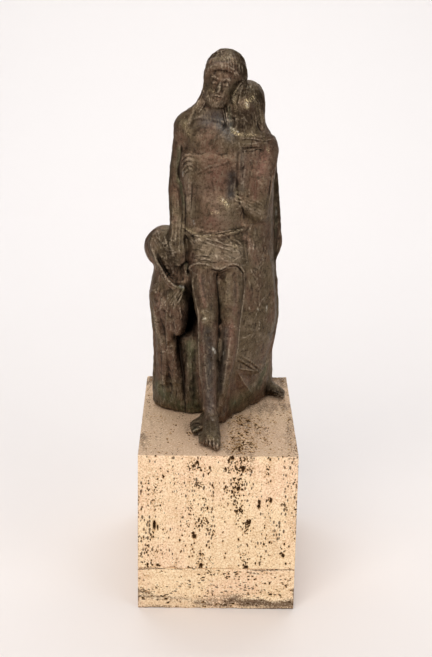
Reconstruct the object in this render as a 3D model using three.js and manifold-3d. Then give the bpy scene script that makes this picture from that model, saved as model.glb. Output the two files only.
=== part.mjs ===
// A bronze mourning group on a travertine plinth: a dead man held upright from behind by a standing
// woman, with a second woman crouching at his side. Millimetres, +Z up. The origin is the middle of
// the plinth's underside, and the group faces -Y.
import * as THREE from "three";
import { mergeVertices, toCreasedNormals } from "three/addons/utils/BufferGeometryUtils.js";
import Module from "manifold-3d";

// Driving dimensions of the plinth, which is a tall block on a low slab.
const PLINTH_WIDTH = 150;
const PLINTH_DEPTH = 220;
const SLAB_HEIGHT = 42;
const BLOCK_HEIGHT = 117;
const BED_JOINT = 0.3; // bedding between slab, block and bronze
const ARRIS = 1.2; // worn edge of the stone

// Driving dimensions of the bronze.
const GROUP_HEIGHT = 360;
const GROUP_BACK = 0; // how far the group stands behind the middle of the plinth
const STAND_Z = SLAB_HEIGHT + BLOCK_HEIGHT + 2 * BED_JOINT;

// The figures are laid out on a canon of 360 parts to the group's height, with x to the right as seen
// from the front, y to the back and z up from the plinth's top.
const CANON = 360;
const CLAY_ROOM = [[-80, 80], [-106, 106], [-6, 366]];
const CLAY_STEP = 2.4; // parts between samples of the clay
const SKIN_TRIANGLES = 9500;
const CREASE = THREE.MathUtils.degToRad(55); // edges sharper than this are shaded as edges

// Clay. A form is a box that encloses it and a distance function, negative inside.

const mix = (a, b, t) => a + (b - a) * t;
const clamp01 = (t) => Math.min(1, Math.max(0, t));

function blendUnion(a, b, soft) {
  const h = Math.max(soft - Math.abs(a - b), 0) / soft;
  return Math.min(a, b) - h * h * soft * 0.25;
}

// An ellipsoid, turned by [x, y, z] degrees.
function ball(centre, radii, turn = [0, 0, 0]) {
  const [rx, ry, rz] = radii;
  const angles = turn.map((degrees) => THREE.MathUtils.degToRad(degrees));
  const back = new THREE.Matrix4().makeRotationFromEuler(new THREE.Euler(...angles)).invert();
  const e = back.elements;
  const reach = Math.max(...radii);
  return {
    box: centre.map((c) => [c - reach, c + reach]),
    distance(px, py, pz) {
      const [dx, dy, dz] = [px - centre[0], py - centre[1], pz - centre[2]];
      const x = e[0] * dx + e[4] * dy + e[8] * dz;
      const y = e[1] * dx + e[5] * dy + e[9] * dz;
      const z = e[2] * dx + e[6] * dy + e[10] * dz;
      const k0 = Math.hypot(x / rx, y / ry, z / rz);
      const k1 = Math.hypot(x / (rx * rx), y / (ry * ry), z / (rz * rz));
      return k1 === 0 ? -Math.min(rx, ry, rz) : (k0 * (k0 - 1)) / k1;
    },
  };
}

// A roll of clay along a smooth curve. Each point is [x, y, z, radius], and flat squeezes the roll
// along the given axis, as on a hand or a strip of cloth.
function roll(points, { steps = 5, flat = 1, axis = 1 } = {}) {
  const route = new THREE.CatmullRomCurve3(points.map(([x, y, z]) => new THREE.Vector3(x, y, z)));
  const count = (points.length - 1) * steps;
  const spine = [];
  for (let i = 0; i <= count; i += 1) {
    const share = (i / count) * (points.length - 1);
    const k = Math.min(Math.floor(share), points.length - 2);
    const radius = mix(points[k][3], points[k + 1][3], share - k);
    spine.push([...route.getPoint(i / count).toArray(), radius]);
  }
  const box = [0, 1, 2].map((k) => [
    Math.min(...spine.map((p) => p[k] - p[3])),
    Math.max(...spine.map((p) => p[k] + p[3])),
  ]);
  const squeeze = [1, 1, 1];
  squeeze[axis] = 1 / flat;
  return {
    box,
    distance(px, py, pz) {
      let best = Infinity;
      for (let i = 0; i < count; i += 1) {
        const [a, b] = [spine[i], spine[i + 1]];
        const ux = (b[0] - a[0]) * squeeze[0];
        const uy = (b[1] - a[1]) * squeeze[1];
        const uz = (b[2] - a[2]) * squeeze[2];
        const vx = (px - a[0]) * squeeze[0];
        const vy = (py - a[1]) * squeeze[1];
        const vz = (pz - a[2]) * squeeze[2];
        const t = clamp01((ux * vx + uy * vy + uz * vz) / (ux * ux + uy * uy + uz * uz + 1e-9));
        const away = Math.hypot(vx - ux * t, vy - uy * t, vz - uz * t) - mix(a[3], b[3], t);
        best = Math.min(best, away);
      }
      return best * flat;
    },
  };
}

// Numbers that change smoothly with height, from rows of [z, ...numbers], lowest first.
function atHeight(rows, z) {
  let k = 0;
  while (k < rows.length - 2 && z > rows[k + 1][0]) k += 1;
  const [a, b] = [rows[k], rows[k + 1]];
  const [before, after] = [rows[k - 1] ?? a, rows[k + 2] ?? b];
  const rise = b[0] - a[0];
  const t = clamp01((z - a[0]) / rise);
  return a.slice(1).map((value, n) => {
    const next = b[n + 1];
    const start = (rise * (next - before[n + 1])) / (b[0] - before[0]);
    const end = (rise * (after[n + 1] - value)) / (after[0] - a[0]);
    const bend = t * t * (3 - 2 * t);
    return mix(value, next, bend) + t * (1 - t) * ((1 - t) * start - t * end);
  });
}

// Remembers the last answer, as the clay is visited layer by layer.
function remembered(answer) {
  let [asked, given] = [NaN, null];
  return (z) => {
    if (z !== asked) [asked, given] = [z, answer(z)];
    return given;
  };
}

// An upright mass through rounded sections, each [z, x, y, half width, half depth], lowest first.
function trunk(sections, squareness = 2.3) {
  const [low, high] = [sections[0][0], sections.at(-1)[0]];
  const sectionAt = remembered((z) => atHeight(sections, z));
  return {
    box: [
      [Math.min(...sections.map((s) => s[1] - s[3])), Math.max(...sections.map((s) => s[1] + s[3]))],
      [Math.min(...sections.map((s) => s[2] - s[4])), Math.max(...sections.map((s) => s[2] + s[4]))],
      [low, high],
    ],
    distance(px, py, pz) {
      const z = Math.min(high, Math.max(low, pz));
      const [x, y, wide, deep] = sectionAt(z);
      const across = Math.abs(px - x) / wide;
      const along = Math.abs(py - y) / deep;
      const out = (across ** squareness + along ** squareness) ** (1 / squareness);
      const side = (out - 1) * Math.min(wide, deep);
      return pz === z ? side : Math.hypot(Math.max(side, 0), pz - z);
    },
  };
}

// A standing mass of cloth through closed outlines, each [z, x1, y1, x2, y2, ...], lowest first.
// It goes on below its lowest outline.
function drape(outlines) {
  const high = outlines.at(-1)[0];
  const ringAt = remembered((z) => {
    const flat = atHeight(outlines, z);
    const corners = [];
    for (let n = 0; n < flat.length; n += 2) corners.push(new THREE.Vector3(flat[n], flat[n + 1], 0));
    return new THREE.CatmullRomCurve3(corners, true).getPoints(corners.length * 3);
  });
  const values = (first) => outlines.flatMap((row) => row.filter((_, n) => n > 0 && n % 2 === first));
  return {
    box: [
      [Math.min(...values(1)) - 2, Math.max(...values(1)) + 2],
      [Math.min(...values(0)) - 2, Math.max(...values(0)) + 2],
      [outlines[0][0] - 20, high],
    ],
    distance(px, py, pz) {
      const ring = ringAt(Math.max(outlines[0][0], Math.min(high, pz)));
      let nearest = Infinity;
      let inside = false;
      for (let n = 1; n < ring.length; n += 1) {
        const [a, b] = [ring[n - 1], ring[n]];
        const [ux, uy, vx, vy] = [b.x - a.x, b.y - a.y, px - a.x, py - a.y];
        const t = clamp01((ux * vx + uy * vy) / (ux * ux + uy * uy + 1e-9));
        nearest = Math.min(nearest, (vx - ux * t) ** 2 + (vy - uy * t) ** 2);
        if (a.y > py !== b.y > py && px < (ux * vy) / uy + a.x) inside = !inside;
      }
      const side = inside ? -Math.sqrt(nearest) : Math.sqrt(nearest);
      return pz <= high ? side : Math.hypot(Math.max(side, 0), pz - high);
    },
  };
}

// The lump of clay: a grid of distances that forms are pressed onto or cut out of.
const FAR = 40;

class Clay {
  constructor(room, step) {
    this.step = step;
    this.origin = room.map(([low]) => low);
    this.size = room.map(([low, high]) => Math.ceil((high - low) / step) + 1);
    this.field = new Float32Array(this.size[0] * this.size[1] * this.size[2]).fill(FAR);
  }

  // Visits the samples near a form with the form's distance there.
  near(form, margin, change) {
    const [nx, ny] = this.size;
    const range = form.box.map(([low, high], k) => [
      Math.max(0, Math.floor((low - margin - this.origin[k]) / this.step)),
      Math.min(this.size[k] - 1, Math.ceil((high + margin - this.origin[k]) / this.step)),
    ]);
    for (let k = range[2][0]; k <= range[2][1]; k += 1) {
      for (let j = range[1][0]; j <= range[1][1]; j += 1) {
        for (let i = range[0][0]; i <= range[0][1]; i += 1) {
          const at = (k * ny + j) * nx + i;
          const distance = form.distance(
            this.origin[0] + i * this.step,
            this.origin[1] + j * this.step,
            this.origin[2] + k * this.step,
          );
          this.field[at] = change(this.field[at], distance);
        }
      }
    }
  }

  press(form, soft = 4) {
    this.near(form, soft + 2 * this.step, (old, distance) => blendUnion(old, distance, soft));
    return this;
  }

  cut(form, soft = 3) {
    this.near(form, soft + 2 * this.step, (old, distance) => -blendUnion(-old, distance, soft));
    return this;
  }

  // Keeps the outermost samples outside, so that the skin closes, and fills pockets that no air reaches.
  close() {
    const [nx, ny, nz] = this.size;
    const { field } = this;
    const outermost = (i, n) => i === 0 || i === n - 1;
    const open = new Uint8Array(field.length);
    const front = [];
    for (let at = 0; at < field.length; at += 1) {
      const [i, j, k] = [at % nx, Math.floor(at / nx) % ny, Math.floor(at / (nx * ny))];
      if (outermost(i, nx) || outermost(j, ny) || outermost(k, nz)) {
        field[at] = Math.max(field[at], this.step / 2);
        open[at] = 1;
        front.push(at);
      }
    }
    while (front.length) {
      const at = front.pop();
      [1, -1, nx, -nx, nx * ny, -nx * ny].forEach((side) => {
        const next = at + side;
        if (open[next] === 0 && field[next] >= 0) {
          open[next] = 1;
          front.push(next);
        }
      });
    }
    open.forEach((reached, at) => {
      if (!reached && field[at] >= 0) field[at] = -this.step / 2;
    });
    return this;
  }
}

// The dead man. He stands upright only because he is held: feet crossed and forward, body leaning back.
function deadMan(clay) {
  clay.press(
    trunk([
      [150, -3, -9, 27, 15],
      [165, -3, -7, 28, 17],
      [182, -4, -3, 26.5, 16],
      [197, -4, 0, 24.5, 14.5],
      [212, -4.5, 0, 23.5, 14],
      [227, -5, 1, 24, 14],
      [242, -5, 1, 25.5, 15.5],
      [257, -5, 1, 26.5, 16.5],
      [270, -6, 2, 28, 16],
      [282, -7, 4, 28, 14],
      [292, -7, 5, 23, 12],
      [302, -5, 5, 12, 10],
    ]),
  );
  // Chest, rib arch and belly.
  clay.press(ball([-17, -3, 277], [15, 12, 12]), 8);
  clay.press(ball([6, -3, 277], [15, 12, 12]), 8);
  clay.press(ball([-18, -5, 254], [10, 11, 12]), 6);
  clay.press(ball([10, -5, 254], [9, 11, 12]), 6);
  clay.press(ball([-4, -6, 209], [16, 10, 19]), 8);
  clay.cut(roll([
    [-27, -16.5, 240, 2], [-20, -18, 248, 1.8], [-10, -18.6, 254.5, 1.6], [1, -18.6, 256, 1.6],
    [8, -18, 250, 2], [12, -17, 236, 3.6],
  ]), 4);

  // Right arm, hanging free with the hand over the hood.
  clay.press(roll([[-20, 4, 300, 9], [-29, 4, 297, 8.6], [-36, 4, 289, 9]]), 6);
  clay.press(ball([-35, 4, 287], [10, 11, 13]), 5);
  clay.press(roll([
    [-36.5, 4, 284, 8.6], [-39.8, 6, 266, 8], [-42, 8, 246, 7.6], [-43, 8, 227, 8.2],
    [-42.7, 4, 212, 7.8], [-42.5, -1, 198, 6.8], [-42.5, -5, 189, 6.4],
  ]), 4);
  clay.press(roll([
    [-42.5, -6, 190, 6.6], [-42.5, -9.5, 181, 7.4], [-42, -11, 176, 6],
  ], { flat: 0.62 }), 3);
  for (let finger = 0; finger < 4; finger += 1) {
    const x = -47.5 + 3.7 * finger;
    const length = [17, 21, 22, 18][finger];
    clay.press(roll([
      [x, -11, 178, 2.4], [x + 0.6, -14, 178 - length / 2, 2.2], [x + 2, -13.5, 178 - length, 1.9],
    ]), 1.5);
  }
  // Left arm, over the woman's shoulders and down behind her.
  clay.press(roll([
    [8, 8, 293, 9], [24, 22, 287, 9], [38, 31, 276, 9.5], [46, 37, 258, 8.6], [47.5, 40, 241, 7.4],
    [50, 40, 220, 7.6], [52, 39, 200, 7], [53, 37, 184, 6.6], [54, 34, 171, 6.4],
    [52.5, 31, 157, 4.2],
  ]), 4);

  // Neck, skull, face and beard, the head tilted over to his left.
  clay.press(roll([[-5, 4, 292, 11], [-5, 2, 305, 9.5], [-3, 1, 318, 10]]), 4);
  clay.press(ball([2.3, 6, 340], [19.8, 21, 21.2], [0, 10, 0]), 4);
  clay.press(ball([-3.2, -6, 328], [13.4, 13.5, 18.5], [-4, 10, 0]), 3);
  clay.press(roll([[-1.8, -18, 336, 2], [-3.2, -20.5, 331, 2.3], [-4.2, -22, 327, 2.8]]), 2.5);
  clay.cut(ball([-9, -20.5, 334], [4.6, 4, 3]), 3);
  clay.cut(ball([3, -20, 332], [4.6, 4, 3]), 3);
  clay.press(roll([
    [-15, -5, 325, 4], [-13, -9, 316, 4.6], [-7, -14, 312, 5.6], [-1, -10, 313, 4.6],
    [5, -5, 320, 4],
  ]), 4);
  clay.press(roll([
    [-9.5, -18.5, 321, 1.6], [-5.2, -20.6, 321.5, 1.6], [-0.8, -18, 319.5, 1.6],
  ]), 2);

  // Long hair in a cap over the brow, falling on both shoulders.
  clay.press(roll([
    [-14.5, -9, 341, 3.6], [-8, -15, 346.5, 4], [1, -17, 347.5, 4], [9, -14.5, 343, 4],
    [15, -9, 336, 4],
  ]), 3);
  clay.press(roll([
    [-10, -8, 349, 5], [-14, -5, 339, 4.6], [-14.6, -2, 326, 4.4], [-16.5, 0, 316, 4.6],
    [-21, 0, 309, 4.6], [-28, -2, 302, 4.4], [-31, -7, 293, 3],
  ]), 3);
  clay.press(roll([[-12, 4, 326, 6], [-16, 5, 314, 6], [-21, 5, 305, 5.5]]), 4);
  clay.press(roll([
    [9, -10, 350, 5], [16, -6, 343, 5.6], [17.4, -2, 334, 5.4], [14, -3, 322, 5],
    [9.5, -5, 310, 4.6], [6, -8, 298, 4.2], [4.5, -10, 288, 3],
  ]), 3);
  clay.press(roll([[2, 16, 336, 15], [-1, 14, 316, 12], [-3, 13, 300, 10]]), 5);
}

// Legs and crossed feet of the dead man.
function deadMansLegs(clay) {
  clay.press(roll([
    [-15.4, -8, 166, 13.6], [-15.2, -17, 150, 13.2], [-14.2, -25, 134, 12.6], [-12.6, -33, 120, 11.4],
    [-10.8, -38, 108, 9.8], [-10.6, -40, 94, 9.8], [-10.5, -41, 80, 9.9], [-10.4, -45, 66, 8.8],
    [-9.8, -49, 52, 7.7], [-8.6, -53, 36, 6.7], [-7.2, -57, 22, 6.3],
  ]), 3);
  clay.press(ball([-11.4, -41, 110], [7.2, 7, 8]), 3);
  clay.press(roll([
    [-7.4, -48, 12, 7.5], [-7.2, -60, 15, 8], [-7, -73, 12.5, 8.2], [-6.6, -84, 9, 8.6],
    [-6.4, -89, 7, 7.4],
  ], { flat: 0.8, axis: 2 }), 3);
  clay.press(ball([-7, -50, 10], [6.8, 9, 10]), 3);
  clay.press(roll([
    [11.8, -5, 166, 13], [11, -13, 150, 12.6], [10.6, -20, 134, 12.2], [10.1, -26, 120, 11.2],
    [9.6, -30, 108, 10.1], [9.2, -32, 96, 9.6], [8.5, -34, 80, 9.2], [6.6, -35, 64, 8.2],
    [4.8, -36, 50, 7], [2.2, -37, 35, 6], [-1, -38, 20, 5.8],
  ]), 3);
  clay.press(ball([10.5, -33, 108], [6.5, 6, 8]), 3);
  clay.press(roll([
    [0, -36, 11, 7.5], [-8, -40, 12, 7.6], [-13, -45, 9, 8], [-15, -48, 6.5, 7.6],
  ], { flat: 0.8, axis: 2 }), 3);
  // Toes, big toe first: the right foot's along its front edge, the left foot's out to the side.
  for (let toe = 0; toe < 5; toe += 1) {
    const radius = toe === 0 ? 3.7 : 2.8 - 0.15 * toe;
    const [x, y] = [-1.4 - 3.7 * toe - (toe ? 0.8 : 0), -99.5 + 2.6 * toe];
    clay.press(roll([
      [x - 0.2, y + 13, 8, radius], [x, y + 5, 6, radius], [x, y, 3.6, radius],
    ]), 0.8);
    const [side, back] = [-20.5 - 0.5 * toe, -62 + 5.4 * toe];
    clay.press(roll([
      [side + 8, back + 3, 9, 2.7], [side, back, 6.4, 2.8], [side - 3.4, back - 2, 3.6, 2.6],
    ]), 0.8);
  }
}

// The cloth round the dead man's hips, with an arched hem over each thigh.
function loincloth(clay) {
  clay.press(
    trunk([
      [159, -3, -9, 28, 18.5],
      [168, -3, -7.5, 28.5, 19],
      [178, -3.6, -5, 27.6, 17.6],
      [187, -4, -3, 26, 15.6],
    ]),
    2,
  );
  const bands = [
    [
      [-31, -2, 193, 2], [-26, -12, 189, 2.4], [-19, -17.5, 186.5, 2], [-4, -19.5, 187.5, 1.6],
      [10, -17.5, 190, 1.6], [20, -12, 192, 2], [24, -3, 193, 2],
    ],
    [
      [-28, -14, 182, 2.4], [-12, -21, 180, 1.8], [2, -22, 176, 1.8], [15, -19, 173, 2],
      [25, -10, 171, 2],
    ],
    [[-30, -8, 172, 2], [-19, -20, 172, 2], [-8, -23.5, 169, 1.8]],
    [[10, -21, 180, 2.2], [17, -17, 178, 3.2], [24, -9, 178, 2.4]],
    [
      [-31, -8, 150, 2], [-29, -16, 155, 2.2], [-24, -22, 159.5, 2.2], [-15, -26.5, 160.5, 2.2],
      [-8, -27, 158, 2.4], [-2, -26.5, 155.5, 2.6], [5, -25.5, 158.5, 2.4], [14, -22.5, 161, 2.2],
      [21, -17, 156, 2.2], [25, -8, 147, 2],
    ],
  ];
  bands.forEach((band) => clay.press(roll(band), 3));
}

// The standing woman: bowed head at his shoulder, robe and mantle falling to the plinth all round.
function standingWoman(clay) {
  clay.press(
    drape([
      [
        0,
        4, -30, 16, -10, 28, 8, 37, 21, 45, 34, 52, 48, 57, 64, 58, 82, 50, 93, 30, 96, 5, 94,
        -12, 88, -22, 66, -27, 34, -31, 3, -17, -10,
      ],
      [
        30,
        4, -27, 16, -14, 28, -1, 38, 12, 46, 26, 51, 40, 54, 58, 54, 76, 47, 89, 29, 92, 5, 90,
        -12, 83, -22, 62, -26, 32, -30, 3, -17, -8,
      ],
      [
        60,
        5, -22, 17, -18, 30, -10, 41, 2, 49, 15, 53.5, 32, 54, 50, 53, 70, 46, 84, 28, 87, 5, 84,
        -10, 76, -20, 58, -25, 30, -28.5, 4, -16, -7,
      ],
      [
        96,
        5, -18, 18, -17, 31, -13, 43, -5, 52, 6, 57.5, 22, 58.5, 40, 55, 62, 46, 77, 28, 81, 6, 78,
        -8, 70, -17, 52, -22, 28, -25, 6, -14, -6,
      ],
      [
        130,
        5, -12, 20, -15, 33, -13, 44, -7, 51.5, 4, 54.5, 20, 55, 36, 52, 55, 44, 69, 28, 73, 9, 70,
        -4, 60, -12, 44, -16, 24, -18, 6, -8, -6,
      ],
      [
        152,
        8, -8, 21, -14, 34, -12, 44, -6, 50.5, 5, 53, 20, 53.5, 35, 50, 52, 42, 64, 27, 68, 11, 65,
        -1, 55, -8, 40, -10, 22, -10, 8, 0, -4,
      ],
      [
        178,
        12, -6, 23, -9, 34, -8, 43, -2, 49, 8, 52, 20, 52, 35, 48, 50, 40, 60, 26, 63, 12, 60,
        2, 50, -4, 36, -6, 22, -4, 8, 4, -2,
      ],
      [
        204,
        14, -6, 24, -8, 34, -7, 42, -2, 48, 8, 51, 20, 51, 33, 47, 46, 38, 56, 25, 59, 13, 56,
        4, 46, 0, 34, 0, 20, 2, 8, 8, -2,
      ],
      [
        230,
        15, -7, 24, -9, 34, -7, 42, -1, 48, 8, 51, 20, 50, 32, 45, 44, 36, 52, 25, 54, 14, 50,
        7, 41, 4, 31, 4, 18, 6, 7, 10, -2,
      ],
      [
        255,
        15, -8, 24, -9, 33, -6, 41, -1, 47, 8, 50, 19, 49, 30, 44, 40, 35, 46, 25, 48, 15, 44,
        9, 36, 6, 27, 6, 15, 8, 6, 11, -3,
      ],
      [
        272,
        15, -8, 23, -8, 31, -5, 39, 0, 45, 8, 47, 17, 46, 27, 41, 35, 33, 41, 24, 42, 16, 39,
        11, 32, 9, 24, 9, 14, 10, 6, 12, -3,
      ],
      [
        285,
        17, -3, 22, -4, 27, -2, 32, 2, 35, 8, 37, 15, 36, 22, 33, 29, 28, 34, 23, 35, 18, 33,
        14, 27, 12, 20, 12, 12, 13, 5, 14, 0,
      ],
    ]),
    5,
  );
  // Bowed head: skull, brow over a shadowed face, and the hair drawn back to her shoulder.
  clay.press(roll([[27, 20, 276, 14], [26, 14, 292, 13], [24, 10, 306, 13]]), 5);
  clay.press(ball([21.7, 5, 309.4], [18, 21, 20], [0, 4, 0]), 4);
  clay.press(ball([16.5, -3, 297], [11, 10.5, 12.5], [14, 6, 0]), 3);
  clay.cut(roll([[6, -13, 301, 1.4], [13.5, -15.5, 300.5, 2.4], [22, -14, 301, 1.8]]), 2.5);
  clay.press(roll([[12.6, -13.5, 300, 1.2], [12, -15.5, 296, 1.7]]), 2);
  clay.press(roll([
    [31, -3, 320, 5], [34.5, 1, 309, 5.2], [35.2, 3, 298, 4.6], [36.5, 4, 287, 4.4],
  ]), 3);
  clay.press(roll([[27, -9, 309, 3.4], [28, -9, 299, 4], [28, -8, 287, 4]]), 2.5);
  clay.press(roll([[20, -6, 290, 6], [28, -5, 288, 5]]), 3);
  clay.press(roll([[26, 16, 318, 12], [28, 26, 302, 12], [29, 34, 284, 13], [28, 38, 262, 13]]), 8);
  // Collar folds and shoulder.
  clay.press(roll([
    [12, -12, 283, 2.6], [22, -12.5, 283.5, 3.2], [34, -6, 282, 3.6], [44, 6, 279, 3.6],
    [48.5, 18, 274, 3.8],
  ]), 4);
  clay.press(roll([
    [15, -12, 275, 2.4], [28, -10, 273.5, 3], [40, -1, 273, 3.2], [49, 12, 269, 4],
  ]), 3);
  clay.press(roll([[14, -9, 279, 3], [26, -8, 278.5, 3.4], [38, 0, 277.5, 3.4], [46, 9, 274, 3.4]]), 3);
  clay.press(ball([42.5, 16, 262], [12, 14, 13]), 6);
  // The bent arm that holds his side, and the cloth that hangs between the arm and his body.
  clay.press(roll([
    [41, 8, 262, 11.5], [40.2, 2, 250, 11.8], [37.4, -3, 234, 11.6], [36, -5, 218, 10],
    [36.4, -5, 208, 9],
  ]), 4);
  clay.press(roll([
    [37, -4, 207.5, 7.6], [30, -6.5, 211, 7.2], [23, -8.5, 216, 6.2], [16.5, -9.5, 220, 4.6],
  ]), 4);
  clay.press(roll([[28, -2, 262, 6], [28, -2, 244, 7], [27, -4, 224, 6.5]]), 5);
  [[18, 268], [22, 262], [26, 252]].forEach(([x, top]) => {
    clay.press(roll([
      [x, -6.5, top, 3.2], [x - 0.5, -7.5, 244, 3.2], [x - 1, -8, 228, 3], [x - 1, -8, 218, 3],
    ]), 4);
  });
  // Her other arm round his back, the fingers showing under his right armpit, the cloth falling from it.
  clay.press(roll([
    [34, 34, 268, 10], [12, 27, 262, 10], [-12, 19, 257, 9], [-26, 10, 254, 7.5],
    [-34, 0, 253, 6.5],
  ]), 5);
  for (let finger = 0; finger < 4; finger += 1) {
    const z = 261.5 - 4.6 * finger;
    clay.press(roll([
      [-37, -3, z + 1, 2.8], [-35, -7.6, z + 1.5, 2.8], [-31, -10.6, z, 2.6],
      [-27.6, -11, z - 2, 2.2],
    ]), 2);
  }
  clay.press(roll([[-33, -2, 256, 6], [-33, 0, 238, 6], [-33, 2, 214, 6], [-33, 2, 192, 5]]), 4);
  clay.press(roll([[-28, -2, 250, 5], [-27.5, -2, 226, 5.4], [-28, -2, 200, 5.4], [-29, -1, 184, 5]]), 5);
  [[-33.5, -6], [-29.5, -9], [-35.5, -2]].forEach(([x, y], k) => {
    clay.press(roll([
      [x, y, 250 - 2 * k, 3], [x - 0.5, y - 1, 222, 3.5], [x, y - 1, 204, 3.6],
      [x - 0.5, y - 1, 188, 3],
    ]), 3);
  });
  // Robe folds that show from the front.
  const folds = [
    [
      [26, -6, 182, 1.6], [28, -9, 166, 3], [28, -11, 148, 3.2], [26, -12, 126, 2.6],
      [25, -11, 104, 1],
    ],
    [[29, -11, 143, 1.6], [36, -9, 151, 2.4], [45, -2, 159, 1.6]],
    [[45, -4, 168, 2], [48, -1, 150, 3.4], [50, 3, 128, 3.8], [52, 9, 104, 3.6], [51, 17, 80, 1.6]],
    [[18, -15, 66, 2], [26, -10, 60, 3], [35, -2, 54, 3], [44, 9, 48, 2], [49, 18, 45, 1]],
    [[17, -15, 55, 2], [25, -9, 50, 2.6], [34, 1, 46, 2.4], [43, 13, 42, 1.2]],
    [[16, -15, 54, 2], [20, -11, 42, 2.8], [26, -3, 30, 2.6], [32, 7, 18, 1.2]],
    [[48, 34, 236, 2], [47, 47, 190, 3], [49, 54, 130, 3.4], [51, 62, 70, 3.6], [54, 72, -4, 3.8]],
    [[51, 26, 156, 2], [53, 34, 120, 3], [53, 42, 84, 3], [52, 50, 40, 3], [53, 56, -4, 3]],
    [[12, -21, 50, 2.4], [9, -23, 32, 2.4], [5, -26, -4, 2.6]],
  ];
  folds.forEach((fold) => clay.press(roll(fold), 4));
  // Her right foot, out from under the hem.
  clay.press(roll([
    [46, 60, 8, 8], [56, 53, 7.5, 7.4], [61, 48.5, 6, 7],
  ], { flat: 0.8, axis: 2 }), 3);
  for (let toe = 0; toe < 4; toe += 1) {
    clay.press(roll([
      [60, 42.5 + 4.2 * toe, 6, 2.7], [65 + 0.6 * toe, 40 + 4.4 * toe, 5, 2.7],
      [67.4 + 0.6 * toe, 39 + 4.6 * toe, 3.4, 2.5],
    ]), 0.8);
  }
}

// The long folds of her mantle down the back.
function mantleBack(clay) {
  const spread = [[-16, 0.9], [-6, 0.4], [5, 1], [17, 0.6], [29, 1], [41, 0.7], [51, 0.4]];
  spread.forEach(([x, strength], k) => {
    const lean = (x - 20) * 0.55;
    const top = 268 - 9 * Math.abs(k - 3);
    const outer = Math.abs(x - 18) / 34;
    const back = (y) => y - 10 * outer * outer;
    clay.press(roll([
      [25 + lean * 0.5, back(42), top, 2 + strength],
      [24 + lean * 0.9, back(56), 200, 2.8 + strength],
      [22 + lean * 1.2, back(70), 130, 3.2 + strength], [x, back(84), 60, 3.6 + strength],
      [x, back(92), -4, 4.4 + strength],
    ]), 5);
  });
}

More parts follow.
